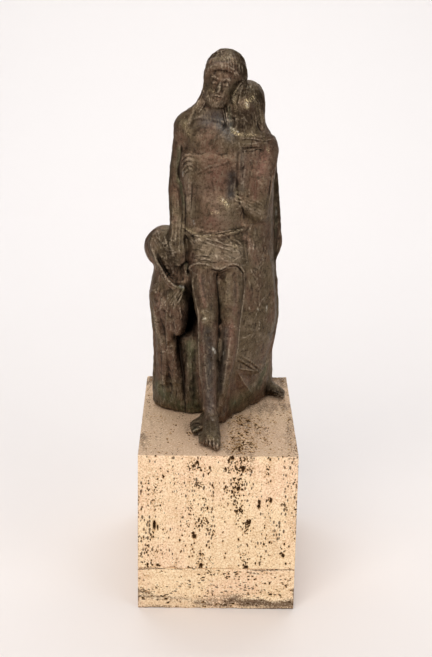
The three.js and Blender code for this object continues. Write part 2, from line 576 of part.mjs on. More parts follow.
// The crouching woman in her hood, her hand at the chin and the sleeve hanging from it.
function crouchingWoman(clay) {
  clay.press(
    drape([
      [
        0,
        -38, -3, -48, 1.5, -57.5, 8.5, -64.5, 18, -66.5, 32, -65, 48, -60, 62, -50, 74, -36, 80, -22, 76,
        -14, 60, -18, 40, -34, 22, -38, 9,
      ],
      [
        50,
        -39, 0, -48, 1, -56, 5, -61.5, 14, -63.3, 28, -62.5, 44, -58, 58, -49, 70, -36, 75, -22, 71,
        -14, 57, -18, 39, -33, 22, -37.5, 10,
      ],
      [
        90,
        -40, -3, -48, -4, -57, 1, -62.8, 10, -65, 24, -63.5, 40, -58, 54, -48, 64, -36, 69, -22, 65,
        -15, 54, -19, 38, -33, 20, -38, 8,
      ],
      [
        122,
        -42, -8, -51, -8, -60.5, -3, -66.8, 6, -69, 18, -66, 34, -59, 46, -48, 55, -36, 59, -24, 55,
        -18, 46, -21, 33, -33, 17, -39, 4,
      ],
      [
        142,
        -43, -7, -50, -6, -58, -2, -63.6, 6, -65.6, 16, -63, 30, -56, 41, -47, 49, -36, 51, -26, 48,
        -21, 40, -24, 29, -34, 15, -40, 4,
      ],
      [
        160,
        -46, -4, -51, -4, -57, 0, -61, 6, -63, 14, -60, 24, -53, 32, -46, 37, -38, 38, -31, 35,
        -28, 28, -30, 20, -37, 11, -42, 3,
      ],
    ]),
    5,
  );
  // Hood with its edge curving down under the chin, and the bowed head within.
  clay.press(ball([-53, 9, 169], [21.2, 21, 21.4]), 5);
  clay.press(roll([[-44, 26, 160, 14], [-46, 34, 142, 14], [-46, 38, 120, 16]]), 8);
  clay.press(ball([-48, 0, 163], [13.5, 14, 18], [0, -12, 0]), 3);
  clay.press(roll([[-46, -2, 160, 10], [-42, -4, 148, 9], [-37, -5, 141, 7]]), 4);
  clay.press(roll([
    [-64, -4, 184, 3], [-66.5, -5, 176, 3.2], [-62.5, -10, 165, 3], [-57, -13, 153, 3],
    [-50.5, -15.5, 141, 3.2], [-44, -17, 135.5, 3], [-37, -15, 134, 3],
  ]), 2.5);
  clay.cut(roll([[-59, -14, 164, 1.8], [-55, -15.5, 155, 2.4], [-50, -17, 145, 2.6]]), 2.5);
  clay.press(roll([[-43, -14, 164, 1.4], [-41, -16, 157, 2]]), 2);
  // Raised forearm and the hanging sleeve.
  clay.press(roll([
    [-60, 4, 122, 9], [-54, -4, 118, 9], [-46, -9, 124, 7], [-39, -12, 132, 4.5],
  ]), 4);
  clay.press(roll([
    [-38.5, -13, 132, 3.6], [-39.5, -13, 121, 5.6], [-39.5, -12, 104, 6.4], [-40, -11, 90, 5.8],
  ], { flat: 0.85 }), 3);
  clay.press(roll([
    [-35.5, -9, 133, 4.6], [-34.8, -8.5, 119, 6.6], [-36, -7, 103, 6.6], [-37.5, -7, 91, 5.2],
  ]), 3);
  clay.press(roll([
    [-43, -13, 129, 3], [-48, -12, 116, 3.4], [-49.5, -9, 100, 3.4], [-49, -6, 80, 3.2],
  ]), 3);
  clay.press(roll([[-35, 6, 192, 5], [-35, 9, 172, 6.5], [-33, 10, 150, 8]]), 4);
  // The cloth between her, the hanging hand and his hip.
  clay.press(roll([
    [-30, 0, 116, 5], [-29, -4, 132, 6.5], [-29, -5, 144, 6.5], [-31, -2, 158, 6], [-31, -2, 176, 6],
  ]), 4);
  // Long folds of her cloak.
  const folds = [
    [[-44, -5, 92, 2.6], [-43.5, -2, 60, 2.4], [-43, 0.5, 34, 2], [-43, 1, 12, 1.2]],
    [[-51, -2, 84, 2.6], [-51, 1, 50, 2.2], [-52, 4, 30, 1.6]],
    [[-60, 0, 116, 3], [-59, 4, 84, 2.8], [-58.5, 7.5, 44, 2.4], [-60, 10, 20, 1.6]],
    [[-65, 16, 124, 3], [-62, 18, 90, 3], [-60.5, 20, 46, 3], [-63, 22, -4, 4]],
    [[-61, 40, 126, 3.5], [-61, 46, 90, 3.6], [-60, 50, 46, 3.8], [-61.5, 54, -4, 4.4]],
    [[-48, 50, 138, 4], [-50, 62, 96, 4.6], [-50, 68, 50, 4.8], [-52, 72, -4, 5]],
    [[-34, 52, 144, 4], [-34, 66, 100, 4.8], [-35, 73, 50, 5], [-36, 78, -4, 5.2]],
  ];
  folds.forEach((fold) => clay.press(roll(fold), 4));
  // The cloth of both women meets along a crease.
  clay.press(roll([[-35, 5, -6, 8], [-35, 7, 40, 8], [-35, 9, 76, 7]]), 3);
  clay.press(roll([[-28, -3, -6, 5.5], [-28, -1, 40, 5.5], [-27.5, 2, 64, 5], [-27, 7, 80, 4]]), 4);
}

// The dark hollows between the figures.
function hollows(clay) {
  clay.cut(roll([
    [-34.4, -5, -6, 1.1], [-34.8, -2.5, 30, 1.5], [-36.6, -1, 56, 2.2], [-38.4, -1, 78, 3.2],
  ]), 1.5);
  clay.cut(roll([[-26, -12, 88, 3.4], [-25.4, -6, 98, 4], [-25, 0, 106, 3.6]]), 2);
  clay.cut(roll([[-25.6, -14, 122, 1.6], [-25.2, -8, 112, 2.8], [-25, 0, 104, 3.6]]), 2);
  clay.cut(roll([[-30.6, -12, 158, 1.6], [-29.6, -10, 150, 2], [-27.6, -12, 143, 1.6]]), 1.5);
  clay.cut(roll([
    [-1.7, -38, 144, 1.3], [-1, -44, 118, 1.3], [-0.7, -49, 96, 1.3], [-1.6, -53, 66, 1.1],
  ]), 1.5);
  clay.cut(roll([[-39.8, -10, 268, 1.8], [-40.6, -8, 250, 2], [-39.4, -8, 232, 2]]), 2);
}

// Skins the clay with marching tetrahedra, six to each cell, so that the surface always closes.
const CUBE = [[0, 0, 0], [1, 0, 0], [1, 1, 0], [0, 1, 0], [0, 0, 1], [1, 0, 1], [1, 1, 1], [0, 1, 1]];
const TETRAHEDRA = [[0, 5, 1, 6], [0, 1, 2, 6], [0, 2, 3, 6], [0, 3, 7, 6], [0, 7, 4, 6], [0, 4, 5, 6]];
const LEAST_SHARE = 0.03; // of a cell's edge, between a sample and the skin

function skin({ field, size, origin, step }) {
  const [nx, ny, nz] = size;
  const layer = nx * ny;
  const points = [];
  const faces = [];
  const corner = CUBE.map(([i, j, k]) => k * layer + j * nx + i);
  const place = (n) => [n % nx, Math.floor(n / nx) % ny, Math.floor(n / layer)];
  const known = new Map();
  const crossing = (a, b) => {
    const [low, high] = [Math.min(a, b), Math.max(a, b)];
    const key = low * 2 * (layer + nx + 2) + (high - low);
    if (!known.has(key)) {
      const share = field[low] / (field[low] - field[high]);
      const t = Math.min(1 - LEAST_SHARE, Math.max(LEAST_SHARE, share));
      const [p, q] = [place(low), place(high)];
      known.set(key, points.length);
      points.push([0, 1, 2].map((m) => origin[m] + step * mix(p[m], q[m], t)));
    }
    return known.get(key);
  };
  const middle = (corners, m) => corners.reduce((sum, c) => sum + CUBE[c][m], 0) / corners.length;
  const skinTetrahedron = (base, tetrahedron) => {
    const within = tetrahedron.filter((c) => field[base + corner[c]] < 0);
    const without = tetrahedron.filter((c) => field[base + corner[c]] >= 0);
    if (!within.length || !without.length) return;
    const at = (a, b) => crossing(base + corner[a], base + corner[b]);
    const order = within.length === 2 ? [[0, 0], [0, 1], [1, 1], [1, 0]] : [[0, 0], [1, 1], [2, 2]];
    const ring = order.map(([a, b]) => at(within[a] ?? within[0], without[b] ?? without[0]));
    const facing = normalOf(ring.slice(0, 3).map((v) => points[v]))
      .reduce((sum, n, m) => sum + n * (middle(without, m) - middle(within, m)), 0);
    if (facing < 0) ring.reverse();
    for (let r = 1; r < ring.length - 1; r += 1) faces.push([ring[0], ring[r], ring[r + 1]]);
  };
  for (let k = 0; k < nz - 1; k += 1) {
    for (let j = 0; j < ny - 1; j += 1) {
      for (let i = 0; i < nx - 1; i += 1) {
        const base = k * layer + j * nx + i;
        const inside = field[base] < 0;
        if (corner.some((offset) => field[base + offset] < 0 !== inside)) {
          TETRAHEDRA.forEach((tetrahedron) => skinTetrahedron(base, tetrahedron));
        }
      }
    }
  }
  return { points, faces };
}

function normalOf([p, q, r]) {
  const [ux, uy, uz] = [q[0] - p[0], q[1] - p[1], q[2] - p[2]];
  const [vx, vy, vz] = [r[0] - p[0], r[1] - p[1], r[2] - p[2]];
  return [uy * vz - uz * vy, uz * vx - ux * vz, ux * vy - uy * vx];
}

// A least-first queue of [cost, ...anything].
class Queue {
  items = [];

  push(item) {
    const { items } = this;
    let k = items.push(item) - 1;
    while (k > 0) {
      const up = (k - 1) >> 1;
      if (items[up][0] <= items[k][0]) break;
      [items[up], items[k]] = [items[k], items[up]];
      k = up;
    }
  }

  pop() {
    const { items } = this;
    const least = items[0];
    const last = items.pop();
    if (!items.length) return least;
    items[0] = last;
    for (let k = 0; ; ) {
      let child = 2 * k + 1;
      if (child >= items.length) break;
      if (child + 1 < items.length && items[child + 1][0] < items[child][0]) child += 1;
      if (items[k][0] <= items[child][0]) break;
      [items[child], items[k]] = [items[k], items[child]];
      k = child;
    }
    return least;
  }
}

// Thins a closed skin to a number of triangles. The edge whose loss moves the surface least goes
// first, by the sum of squared distances to the planes of the faces it stood for.
const EVENNESS = 0.004; // pull towards an edge's middle, which keeps triangles well shaped
const LEAST_TURN = 0.3; // cosine of the most that a face may turn
const LEAST_AREA = 0.01;
const QUADRIC = 10; // numbers in a sum of squared plane distances

function thin({ points, faces }, target) {
  const quadrics = new Float64Array(QUADRIC * points.length);
  const around = points.map(() => []);
  const stamps = new Uint32Array(points.length);
  const sum = new Float64Array(QUADRIC);
  faces.forEach((face, f) => {
    const normal = normalOf(face.map((v) => points[v]));
    const length = Math.hypot(...normal) || 1;
    const [a, b, c] = normal.map((n) => n / length);
    const [x, y, z] = points[face[0]];
    const d = -(a * x + b * y + c * z);
    const plane = [a * a, a * b, a * c, a * d, b * b, b * c, b * d, c * c, c * d, d * d];
    for (const v of face) {
      around[v].push(f);
      for (let k = 0; k < QUADRIC; k += 1) quadrics[QUADRIC * v + k] += plane[k] * length * 0.5;
    }
  });

  // Where the two ends of an edge would meet, and what that costs.
  const meeting = (a, b) => {
    for (let k = 0; k < QUADRIC; k += 1) sum[k] = quadrics[QUADRIC * a + k] + quadrics[QUADRIC * b + k];
    const [p, r] = [points[a], points[b]];
    const length2 = (p[0] - r[0]) ** 2 + (p[1] - r[1]) ** 2 + (p[2] - r[2]) ** 2;
    const pull = EVENNESS * (sum[0] + sum[4] + sum[7]) + 1e-9;
    const [xx, xy, xz] = [sum[0] + pull, sum[1], sum[2]];
    const [yy, yz, zz] = [sum[4] + pull, sum[5], sum[7] + pull];
    const u = (pull * (p[0] + r[0])) / 2 - sum[3];
    const v = (pull * (p[1] + r[1])) / 2 - sum[6];
    const w = (pull * (p[2] + r[2])) / 2 - sum[8];
    const [c0, c1, c2] = [yy * zz - yz * yz, xz * yz - xy * zz, xy * yz - xz * yy];
    const det = xx * c0 + xy * c1 + xz * c2;
    const x = (u * c0 + v * c1 + w * c2) / det;
    const y = (u * c1 + v * (xx * zz - xz * xz) + w * (xz * xy - xx * yz)) / det;
    const z = (u * c2 + v * (xz * xy - xx * yz) + w * (xx * yy - xy * xy)) / det;
    const error =
      x * (sum[0] * x + 2 * (sum[1] * y + sum[2] * z + sum[3])) +
      y * (sum[4] * y + 2 * (sum[5] * z + sum[6])) + z * (sum[7] * z + 2 * sum[8]) + sum[9];
    return { cost: error + EVENNESS * length2, point: [x, y, z] };
  };
  const neighbours = (v) => {
    const found = [];
    for (const f of around[v]) {
      for (const w of faces[f]) {
        if (w !== v && !found.includes(w)) found.push(w);
      }
    }
    return found;
  };
  const queue = new Queue();
  const offer = (a, b) => {
    const { cost, point } = meeting(a, b);
    queue.push([cost, a, b, stamps[a], stamps[b], point]);
  };
  const staysUpright = (v, other, point) =>
    around[v].every((f) => {
      const face = faces[f];
      if (face.includes(other)) return true;
      const [bx, by, bz] = normalOf([points[face[0]], points[face[1]], points[face[2]]]);
      const moved = face.map((w) => (w === v ? point : points[w]));
      const [ax, ay, az] = normalOf(moved);
      const after = Math.sqrt(ax * ax + ay * ay + az * az);
      const before = Math.sqrt(bx * bx + by * by + bz * bz);
      return after > 2 * LEAST_AREA && ax * bx + ay * by + az * bz > LEAST_TURN * before * after;
    });

  points.forEach((_, v) => neighbours(v).forEach((w) => v < w && offer(v, w)));
  let left = faces.length;
  while (left > target && queue.items.length) {
    const [, a, b, stampA, stampB, point] = queue.pop();
    if (stamps[a] !== stampA || stamps[b] !== stampB) continue;
    const ringB = neighbours(b);
    if (neighbours(a).filter((v) => ringB.includes(v)).length !== 2) continue;
    if (!staysUpright(a, b, point) || !staysUpright(b, a, point)) continue;
    for (const f of around[b]) {
      const face = faces[f];
      if (face.includes(a)) {
        for (const v of face) {
          if (v !== b) around[v].splice(around[v].indexOf(f), 1);
        }
        faces[f] = null;
        left -= 1;
      } else {
        face[face.indexOf(b)] = a;
        around[a].push(f);
      }
    }
    around[b] = [];
    points[a] = point;
    for (let k = 0; k < QUADRIC; k += 1) quadrics[QUADRIC * a + k] += quadrics[QUADRIC * b + k];
    stamps[a] += 1;
    stamps[b] += 1;
    neighbours(a).forEach((v) => offer(a, v));
  }
  return { points, faces: faces.filter(Boolean) };
}

// Solids.

const wasm = await Module();
wasm.setup();

function solidOf(points, faces) {
  const used = [...new Set(faces.flat())];
  const renumbered = new Map(used.map((v, k) => [v, k]));
  return new wasm.Manifold(
    new wasm.Mesh({
      numProp: 3,
      vertProperties: new Float32Array(used.flatMap((v) => points[v])),
      triVerts: new Uint32Array(faces.flat().map((v) => renumbered.get(v))),
    }),
  );
}

function geometryOf(solid) {
  const { vertProperties, triVerts } = solid.getMesh();
  const geometry = new THREE.BufferGeometry();
  geometry.setAttribute("position", new THREE.BufferAttribute(vertProperties, 3));
  geometry.setIndex(new THREE.BufferAttribute(triVerts, 1));
  return toCreasedNormals(geometry, CREASE);
}

// A closed three.js geometry as a solid.
function solidOfGeometry(geometry) {
  const bare = geometry.clone();
  ["normal", "uv"].forEach((name) => bare.deleteAttribute(name));
  const merged = mergeVertices(bare, 1e-4);
  const at = merged.getAttribute("position");
  const points = Array.from({ length: at.count }, (_, k) => [at.getX(k), at.getY(k), at.getZ(k)]);
  const corner = merged.index.array;
  const count = corner.length / 3;
  const faces = Array.from({ length: count }, (_, f) => [...corner.slice(3 * f, 3 * f + 3)]);
  return solidOf(points, faces);
}

function bronzeGroup() {
  const clay = new Clay(CLAY_ROOM, CLAY_STEP);
  standingWoman(clay);
  mantleBack(clay);
  crouchingWoman(clay);
  deadMan(clay);
  deadMansLegs(clay);
  loincloth(clay);
  hollows(clay);
  const { points, faces } = thin(skin(clay.close()), SKIN_TRIANGLES);
  const part = GROUP_HEIGHT / CANON;
  const cast = solidOf(points.map((point) => point.map((value) => value * part)), faces);
  // The foot of the cast is filed flat.
  const filings = new THREE.BoxGeometry(4 * GROUP_HEIGHT, 4 * GROUP_HEIGHT, GROUP_HEIGHT);
  filings.translate(0, 0, -GROUP_HEIGHT / 2);
  return geometryOf(cast.subtract(solidOfGeometry(filings)));
}

// A sawn block of stone with its edges worn to a small bevel, standing on z = 0.
function stoneBlock(height) {
  const [x, y] = [PLINTH_WIDTH / 2 - ARRIS, PLINTH_DEPTH / 2 - ARRIS];
  const corners = [[-x, -y], [x, -y], [x, y], [-x, y]];
  const outline = new THREE.Shape(corners.map(([u, v]) => new THREE.Vector2(u, v)));
  const block = new THREE.ExtrudeGeometry(outline, {
    depth: height - 2 * ARRIS,
    bevelThickness: ARRIS,
    bevelSize: ARRIS,
    bevelSegments: 2,
  });
  return block.translate(0, 0, ARRIS);
}

const bronze = new THREE.MeshStandardMaterial({ color: 0x4a3a2c, roughness: 0.5, metalness: 0.85 });
const travertine = new THREE.MeshStandardMaterial({ color: 0xd9b98c, roughness: 0.85, metalness: 0 });

function piece(name, geometry, material, [x, y, z]) {
  const mesh = new THREE.Mesh(geometry, material);
  mesh.name = name;
  mesh.position.set(x, y, z);
  return mesh;
}

const monument = new THREE.Group();
monument.add(
  piece("travertine_slab", stoneBlock(SLAB_HEIGHT), travertine, [0, 0, 0]),
  piece("travertine_block", stoneBlock(BLOCK_HEIGHT), travertine, [0, 0, SLAB_HEIGHT + BED_JOINT]),
  piece("bronze_group", bronzeGroup(), bronze, [0, GROUP_BACK, STAND_Z]),
);

export default monument;
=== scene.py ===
# %% [markdown]
# # A bronze mourning group on a travertine plinth
#
# The real object is three pieces that were made apart. A sculptor modelled the figures with thumb and
# tool, a founder cast them hollow in bronze and gave them a dark patina, and a mason sawed two blocks of
# travertine for the plinth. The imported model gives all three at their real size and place. This lesson
# keeps them there and makes their surfaces: the camera and the light come first, then the work of the
# thumb and the tool on the figures, then the pores of the stone, and last the finishes.

# %% Load the frame
import math

import bmesh
import bpy
import numpy as np
from mathutils import Matrix, Vector
from mathutils.bvhtree import BVHTree
from mathutils.kdtree import KDTree


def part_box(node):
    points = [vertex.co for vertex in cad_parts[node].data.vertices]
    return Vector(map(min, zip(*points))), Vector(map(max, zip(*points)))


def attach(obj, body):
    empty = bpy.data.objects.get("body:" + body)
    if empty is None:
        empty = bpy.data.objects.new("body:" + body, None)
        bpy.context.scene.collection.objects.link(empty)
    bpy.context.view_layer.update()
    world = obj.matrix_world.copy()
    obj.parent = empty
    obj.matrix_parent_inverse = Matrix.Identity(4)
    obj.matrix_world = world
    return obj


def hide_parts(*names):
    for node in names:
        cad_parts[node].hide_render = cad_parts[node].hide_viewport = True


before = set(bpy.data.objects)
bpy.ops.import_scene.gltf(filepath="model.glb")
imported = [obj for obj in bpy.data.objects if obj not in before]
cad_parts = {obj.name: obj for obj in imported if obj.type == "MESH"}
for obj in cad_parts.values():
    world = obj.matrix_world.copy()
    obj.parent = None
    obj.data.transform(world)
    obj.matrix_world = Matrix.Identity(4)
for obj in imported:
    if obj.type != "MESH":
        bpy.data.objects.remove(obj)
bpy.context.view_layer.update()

MM = 0.001
block_low, block_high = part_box("travertine_block")
slab_low, slab_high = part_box("travertine_slab")

# %% [markdown]
# ## The camera
#
# The photograph was taken from a little above, from about 1.5 m away. A camera could be turned by eye
# until the view looks right. Here the plinth's corners fix its place and its turn, because a box in
# perspective allows only one. Its focal length is kept in pixels of the photograph, since the same
# number turns any pixel into a line of sight, and that is how marks find their place later.

# %% Camera at the photograph's viewpoint
PHOTO_WIDTH, PHOTO_HEIGHT = 432, 657
FOCAL_PIXELS = 1396.8
CAMERA_PLACE = Vector((-17.4, -1311.8, 667.2)) * MM
YAW, PITCH, ROLL = (math.radians(angle) for angle in (0.63, 17.704, 0.964))
SENSOR = 36.0  # mm, along the photograph's long side


def added(name, data):
    """A new object with this data, linked into the scene."""
    made = bpy.data.objects.new(name, data)
    bpy.context.scene.collection.objects.link(made)
    return made


def camera_turn():
    ahead = Vector((math.sin(YAW) * math.cos(PITCH), math.cos(YAW) * math.cos(PITCH), -math.sin(PITCH)))
    level = Vector((math.cos(YAW), -math.sin(YAW), 0))
    upright = level.cross(ahead)
    right = level * math.cos(ROLL) + upright * math.sin(ROLL)
    up = upright * math.cos(ROLL) - level * math.sin(ROLL)
    return Matrix((right, up, -ahead)).transposed()


CAMERA_TURN = camera_turn()


def make_camera():
    data = bpy.data.cameras.new("camera")
    data.sensor_width = SENSOR
    data.lens = FOCAL_PIXELS * SENSOR / PHOTO_HEIGHT
    camera = added("camera", data)
    camera.matrix_world = Matrix.Translation(CAMERA_PLACE) @ CAMERA_TURN.to_4x4()
    bpy.context.scene.camera = camera
    return camera


def line_of_sight(across, down):
    """The direction of the line through a pixel of the photograph."""
    slant = ((across - PHOTO_WIDTH / 2) / FOCAL_PIXELS, (PHOTO_HEIGHT / 2 - down) / FOCAL_PIXELS, -1)
    return (CAMERA_TURN @ Vector(slant)).normalized()


camera = make_camera()
print("lens, mm:", round(camera.data.lens, 1))

# %% [markdown]
# ## Studio
#
# A sculpture is shown in soft light on white paper, which leaves only faint shadows. The floor and the
# wall could be two planes, but their corner would show as a line. So one sheet is both: it is flat under
# the plinth and curls up far behind it. It is a stage, not part of the object.

# %% Floor, wall and lights
PAPER_FRONT, PAPER_BACK, PAPER_SIDE = -1.6, 1.5, 2.4
PAPER_BEND, PAPER_TOP = 0.7, 2.6
PAPER_STEPS = 24
WORLD_LIGHT = 0.3


def linear(red, green, blue):
    """A colour as a screen shows it, 0 to 255, turned into the light that Blender mixes."""
    shares = [value / 255 for value in (red, green, blue)]
    return [s / 12.92 if s <= 0.04045 else ((s + 0.055) / 1.055) ** 2.4 for s in shares] + [1.0]


def paper_sweep():
    quarter = [math.pi / 2 * step / PAPER_STEPS for step in range(PAPER_STEPS + 1)]
    curve = [(PAPER_BACK + PAPER_BEND * math.sin(a), PAPER_BEND * (1 - math.cos(a))) for a in quarter]
    profile = [(PAPER_FRONT, 0.0), *curve, (PAPER_BACK + PAPER_BEND, PAPER_TOP)]
    points = [(side, y, z) for y, z in profile for side in (-PAPER_SIDE, PAPER_SIDE)]
    faces = [(2 * k, 2 * k + 1, 2 * k + 3, 2 * k + 2) for k in range(len(profile) - 1)]
    mesh = bpy.data.meshes.new("paper_sweep")
    mesh.from_pydata(points, [], faces)
    mesh.shade_smooth()
    paper = added("paper_sweep", mesh)
    return paper


def soft_light(name, place, aim, size, power, colour=(255, 255, 255)):
    data = bpy.data.lights.new(name, "AREA")
    data.shape = "RECTANGLE"
    data.size, data.size_y = size
    data.energy = power
    data.color = linear(*colour)[:3]
    light = added(name, data)
    light.location = place
    light.rotation_euler = (Vector(aim) - Vector(place)).to_track_quat("-Z", "Y").to_euler()


paper = paper_sweep()
soft_light("key", place=(-0.5, -1.35, 1.4), aim=(0, 0, 0.4), size=(1.2, 1.0), power=19,
           colour=(255, 250, 243))
soft_light("fill", place=(1.3, -1.3, 0.9), aim=(0, 0, 0.3), size=(1.1, 1.3), power=9)
soft_light("overhead", place=(0.0, 0.2, 2.4), aim=(0, 0.2, 0), size=(2.6, 1.8), power=12)
soft_light("wall", place=(0.0, 1.25, 2.5), aim=(0, 2.2, 0.9), size=(2.4, 0.6), power=40.5,
           colour=(243, 251, 255))

world = bpy.data.worlds.new("studio")
bpy.context.scene.world = world
world.use_nodes = True
background = world.node_tree.nodes["Background"]
background.inputs["Color"].default_value = linear(255, 251, 249)
background.inputs["Strength"].default_value = WORLD_LIGHT
bpy.context.scene.view_settings.view_transform = "Standard"

# %% [markdown]
# ## Clay
#
# A bronze like this starts as clay, and the surface of the cast is the surface of the clay. It could be
# sculpted by hand in Sculpt Mode, but a script has to give the same figures on every run. So the packed
# solid, which is faceted, is rounded by subdivision and skinned again with small even cells, which is
# the Remesh modifier in its voxel mode. After that each point can be pushed in or out along its normal,
# as a tool does. Arrays of all the points make that quick.

# %% Round and skin a solid
CLAY_CELL = 0.95 * MM
SAME_POINT = 1e-6  # metres between two points that are one


def evaluated(thing):
    """What an object's modifiers make of its mesh, as a mesh of its own. The object goes."""
    made = bpy.data.meshes.new_from_object(thing.evaluated_get(bpy.context.evaluated_depsgraph_get()))
    bpy.data.objects.remove(thing)
    return made


def skinned(mesh, name, cell, rounding):
    """A mesh rounded by subdivision and skinned again with even cells."""
    lump = added(name, mesh)
    lump.modifiers.new("round", "SUBSURF").levels = rounding
    remesh = lump.modifiers.new("skin", "REMESH")
    remesh.mode = "VOXEL"
    remesh.voxel_size = cell
    fresh = evaluated(lump)
    fresh.name = name
    return fresh


def welded(mesh):
    """A copy of a mesh whose split points are joined again."""
    joined = bmesh.new()
    joined.from_mesh(mesh)
    bmesh.ops.remove_doubles(joined, verts=joined.verts, dist=SAME_POINT)
    copy = bpy.data.meshes.new(mesh.name + "_welded")
    joined.to_mesh(copy)
    joined.free()
    return copy


solid = welded(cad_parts["bronze_group"].data)
bronze_skin = skinned(solid, "bronze_clay", CLAY_CELL, rounding=1)
print("cells of the skin:", len(bronze_skin.polygons))

# %% A mesh as arrays
STEP_BACK = 1.03  # how much longer the step out is than the step in, which keeps the volume


class Surface:
    """The points of a mesh as an array in mm, with what smoothing and pushing need."""

    def __init__(self, mesh):
        self.mesh = mesh
        count = len(mesh.vertices)
        flat = np.empty(3 * count)
        mesh.vertices.foreach_get("co", flat)
        self.points = flat.reshape(-1, 3) / MM
        ends = np.empty(2 * len(mesh.edges), int)
        mesh.edges.foreach_get("vertices", ends)
        self.edges = ends.reshape(-1, 2)
        self.degree = np.bincount(ends, minlength=count)

    def around(self, values):
        """The mean of each point's neighbours."""
        start, end = self.edges.T
        total = np.zeros((len(self.degree), values.shape[1]))
        for k in range(values.shape[1]):
            total[:, k] = np.bincount(start, values[end, k], len(total))
            total[:, k] += np.bincount(end, values[start, k], len(total))
        return total / self.degree[:, None]

    def relax(self, times, share=0.5):
        """Smooths without shrinking: each step in is followed by a slightly longer step out."""
        for _ in range(times):
            for step in (share, -STEP_BACK * share):
                self.points += step * (self.around(self.points) - self.points)

    def blurred(self, values, times):
        """Values at the points, each mixed so many times with those around it."""
        values = values.reshape(len(self.degree), -1)
        for _ in range(times):
            values = 0.5 * values + 0.5 * self.around(values)
        return values

    def store(self):
        self.mesh.vertices.foreach_set("co", (self.points * MM).ravel())
        self.mesh.update()

    def normals(self):
        self.store()
        flat = np.empty(3 * len(self.points))
        self.mesh.vertex_normals.foreach_get("vector", flat)
        return flat.reshape(-1, 3)

    def push(self, amount):
        """Moves each point along its normal by its own amount in mm."""
        self.points += self.normals() * np.asarray(amount)[:, None]

    def tree(self):
        """What lines of sight are cast against."""
        corners = np.empty(len(self.mesh.loops), int)
        self.mesh.loops.foreach_get("vertex_index", corners)
        return BVHTree.FromPolygons(self.points.tolist(), corners.reshape(-1, 4).tolist())


clay = Surface(bronze_skin)
clay.relax(times=6)
clay.store()
print("clay points:", len(clay.points))

# %% [markdown]
# ## Thumb and tool
#
# Folds, locks and toes are pressed and dragged in the clay. A picture of them could be laid over the
# mesh as bump, but then the outline would stay smooth and the folds would have no shadow of their own.
# So every mark is a stroke that moves points: a path on the clay, a width, and a height that is above
# zero for a ridge and below zero for a groove. A path is written in pixels of the photograph and cast
# along lines of sight, so that a fold lands where the photograph shows it and lies on the form from any
# side. Where the photograph doesn't reach, the path is cast from the back or the sides.

# %% Paths on the clay
PATH_STEP = 0.8  # mm between the points of a path
LEAP = 7.0  # mm of depth that a path may not jump
VIEWS = {  # name: (direction of sight, the model's axis that runs to the right)
    "back": (Vector((0, -1, 0)), Vector((-1, 0, 0))),
    "left": (Vector((1, 0, 0)), Vector((0, -1, 0))),
    "right": (Vector((-1, 0, 0)), Vector((0, 1, 0))),
}
FAR_AWAY = 400.0  # mm, a start well outside the figures
GUIDE_STEP, GUIDE_POINTS = 0.5, 9  # pixels between the points of a guide line, and how many are kept
tree = clay.tree()


def sightline(view, across, up):
    """Where a line of sight starts, in mm, and its direction. Other views than the photograph's count
    across and up in mm from the middle of the plinth's top."""
    if view == "photo":
        return CAMERA_PLACE / MM, line_of_sight(across, up)
    ahead, right = VIEWS[view]
    foot = Vector((0, 0, block_high.z / MM))
    return foot + right * across + Vector((0, 0, 1)) * up - ahead * FAR_AWAY, ahead


def smooth_line(points, step):
    """A curve through given points, with points about a step apart."""
    points = np.asarray(points, float)
    if len(points) < 3:
        count = max(2, int(np.linalg.norm(points[-1] - points[0]) / step) + 1)
        return np.linspace(points[0], points[-1], count)
    padded = np.vstack([2 * points[0] - points[1], points, 2 * points[-1] - points[-2]])
    pieces = []
    for a, b, c, d in zip(padded, padded[1:], padded[2:], padded[3:]):
        t = np.linspace(0, 1, max(2, int(np.linalg.norm(c - b) / step) + 1))[:-1, None]
        pieces.append(0.5 * (2 * b + (c - a) * t + (2 * a - 5 * b + 4 * c - d) * t**2
                             + (3 * b - a - 3 * c + d) * t**3))
    return np.vstack([*pieces, points[-1:]])


def landed(sights):
    """Where lines of sight meet the clay, in mm, or None where fewer than two of them do."""
    hits = []
    for start, ahead in sights:
        place = tree.ray_cast(start, ahead)[0]
        if place is not None and not (hits and (place - hits[-1]).length > LEAP):
            hits.append(place)
    return np.array(hits) if len(hits) > 1 else None


def cast(line, view="photo"):
    """A line of pixels as a path on the clay."""
    return landed(sightline(view, across, up) for across, up in smooth_line(line, PATH_STEP))


def spot(across, up):
    """The point of the clay that one pixel shows."""
    place = tree.ray_cast(*sightline("photo", across, up))[0]
    return None if place is None else np.array(place)


def between(first, last, count):
    """Lines spread evenly from one guide line to another."""
    ends = []
    for guide in (first, last):
        line = smooth_line(guide, GUIDE_STEP)
        ends.append(line[np.linspace(0, len(line) - 1, GUIDE_POINTS).round().astype(int)])
    return [ends[0] * (1 - share) + ends[1] * share for share in np.linspace(0, 1, count)]


def lowered(line, pixels):
    """The same line further down the photograph."""
    return [(across, down + pixels) for across, down in line]


print("the clay under the middle of the picture, mm:", spot(PHOTO_WIDTH / 2, PHOTO_HEIGHT / 2).round(1))

# %% Strokes
rng = np.random.default_rng(26)
MARK_FULL = 1.3  # mm of a stroke's height that leaves its full mark for the finish
MARK_SHARP = 1.25  # how much narrower the mark is than the stroke
STROKE_REACH = 2.6  # widths from a stroke's line to where it ends
MOST_PUSH = 4.0  # mm
NEVER_ZERO = 1e-9
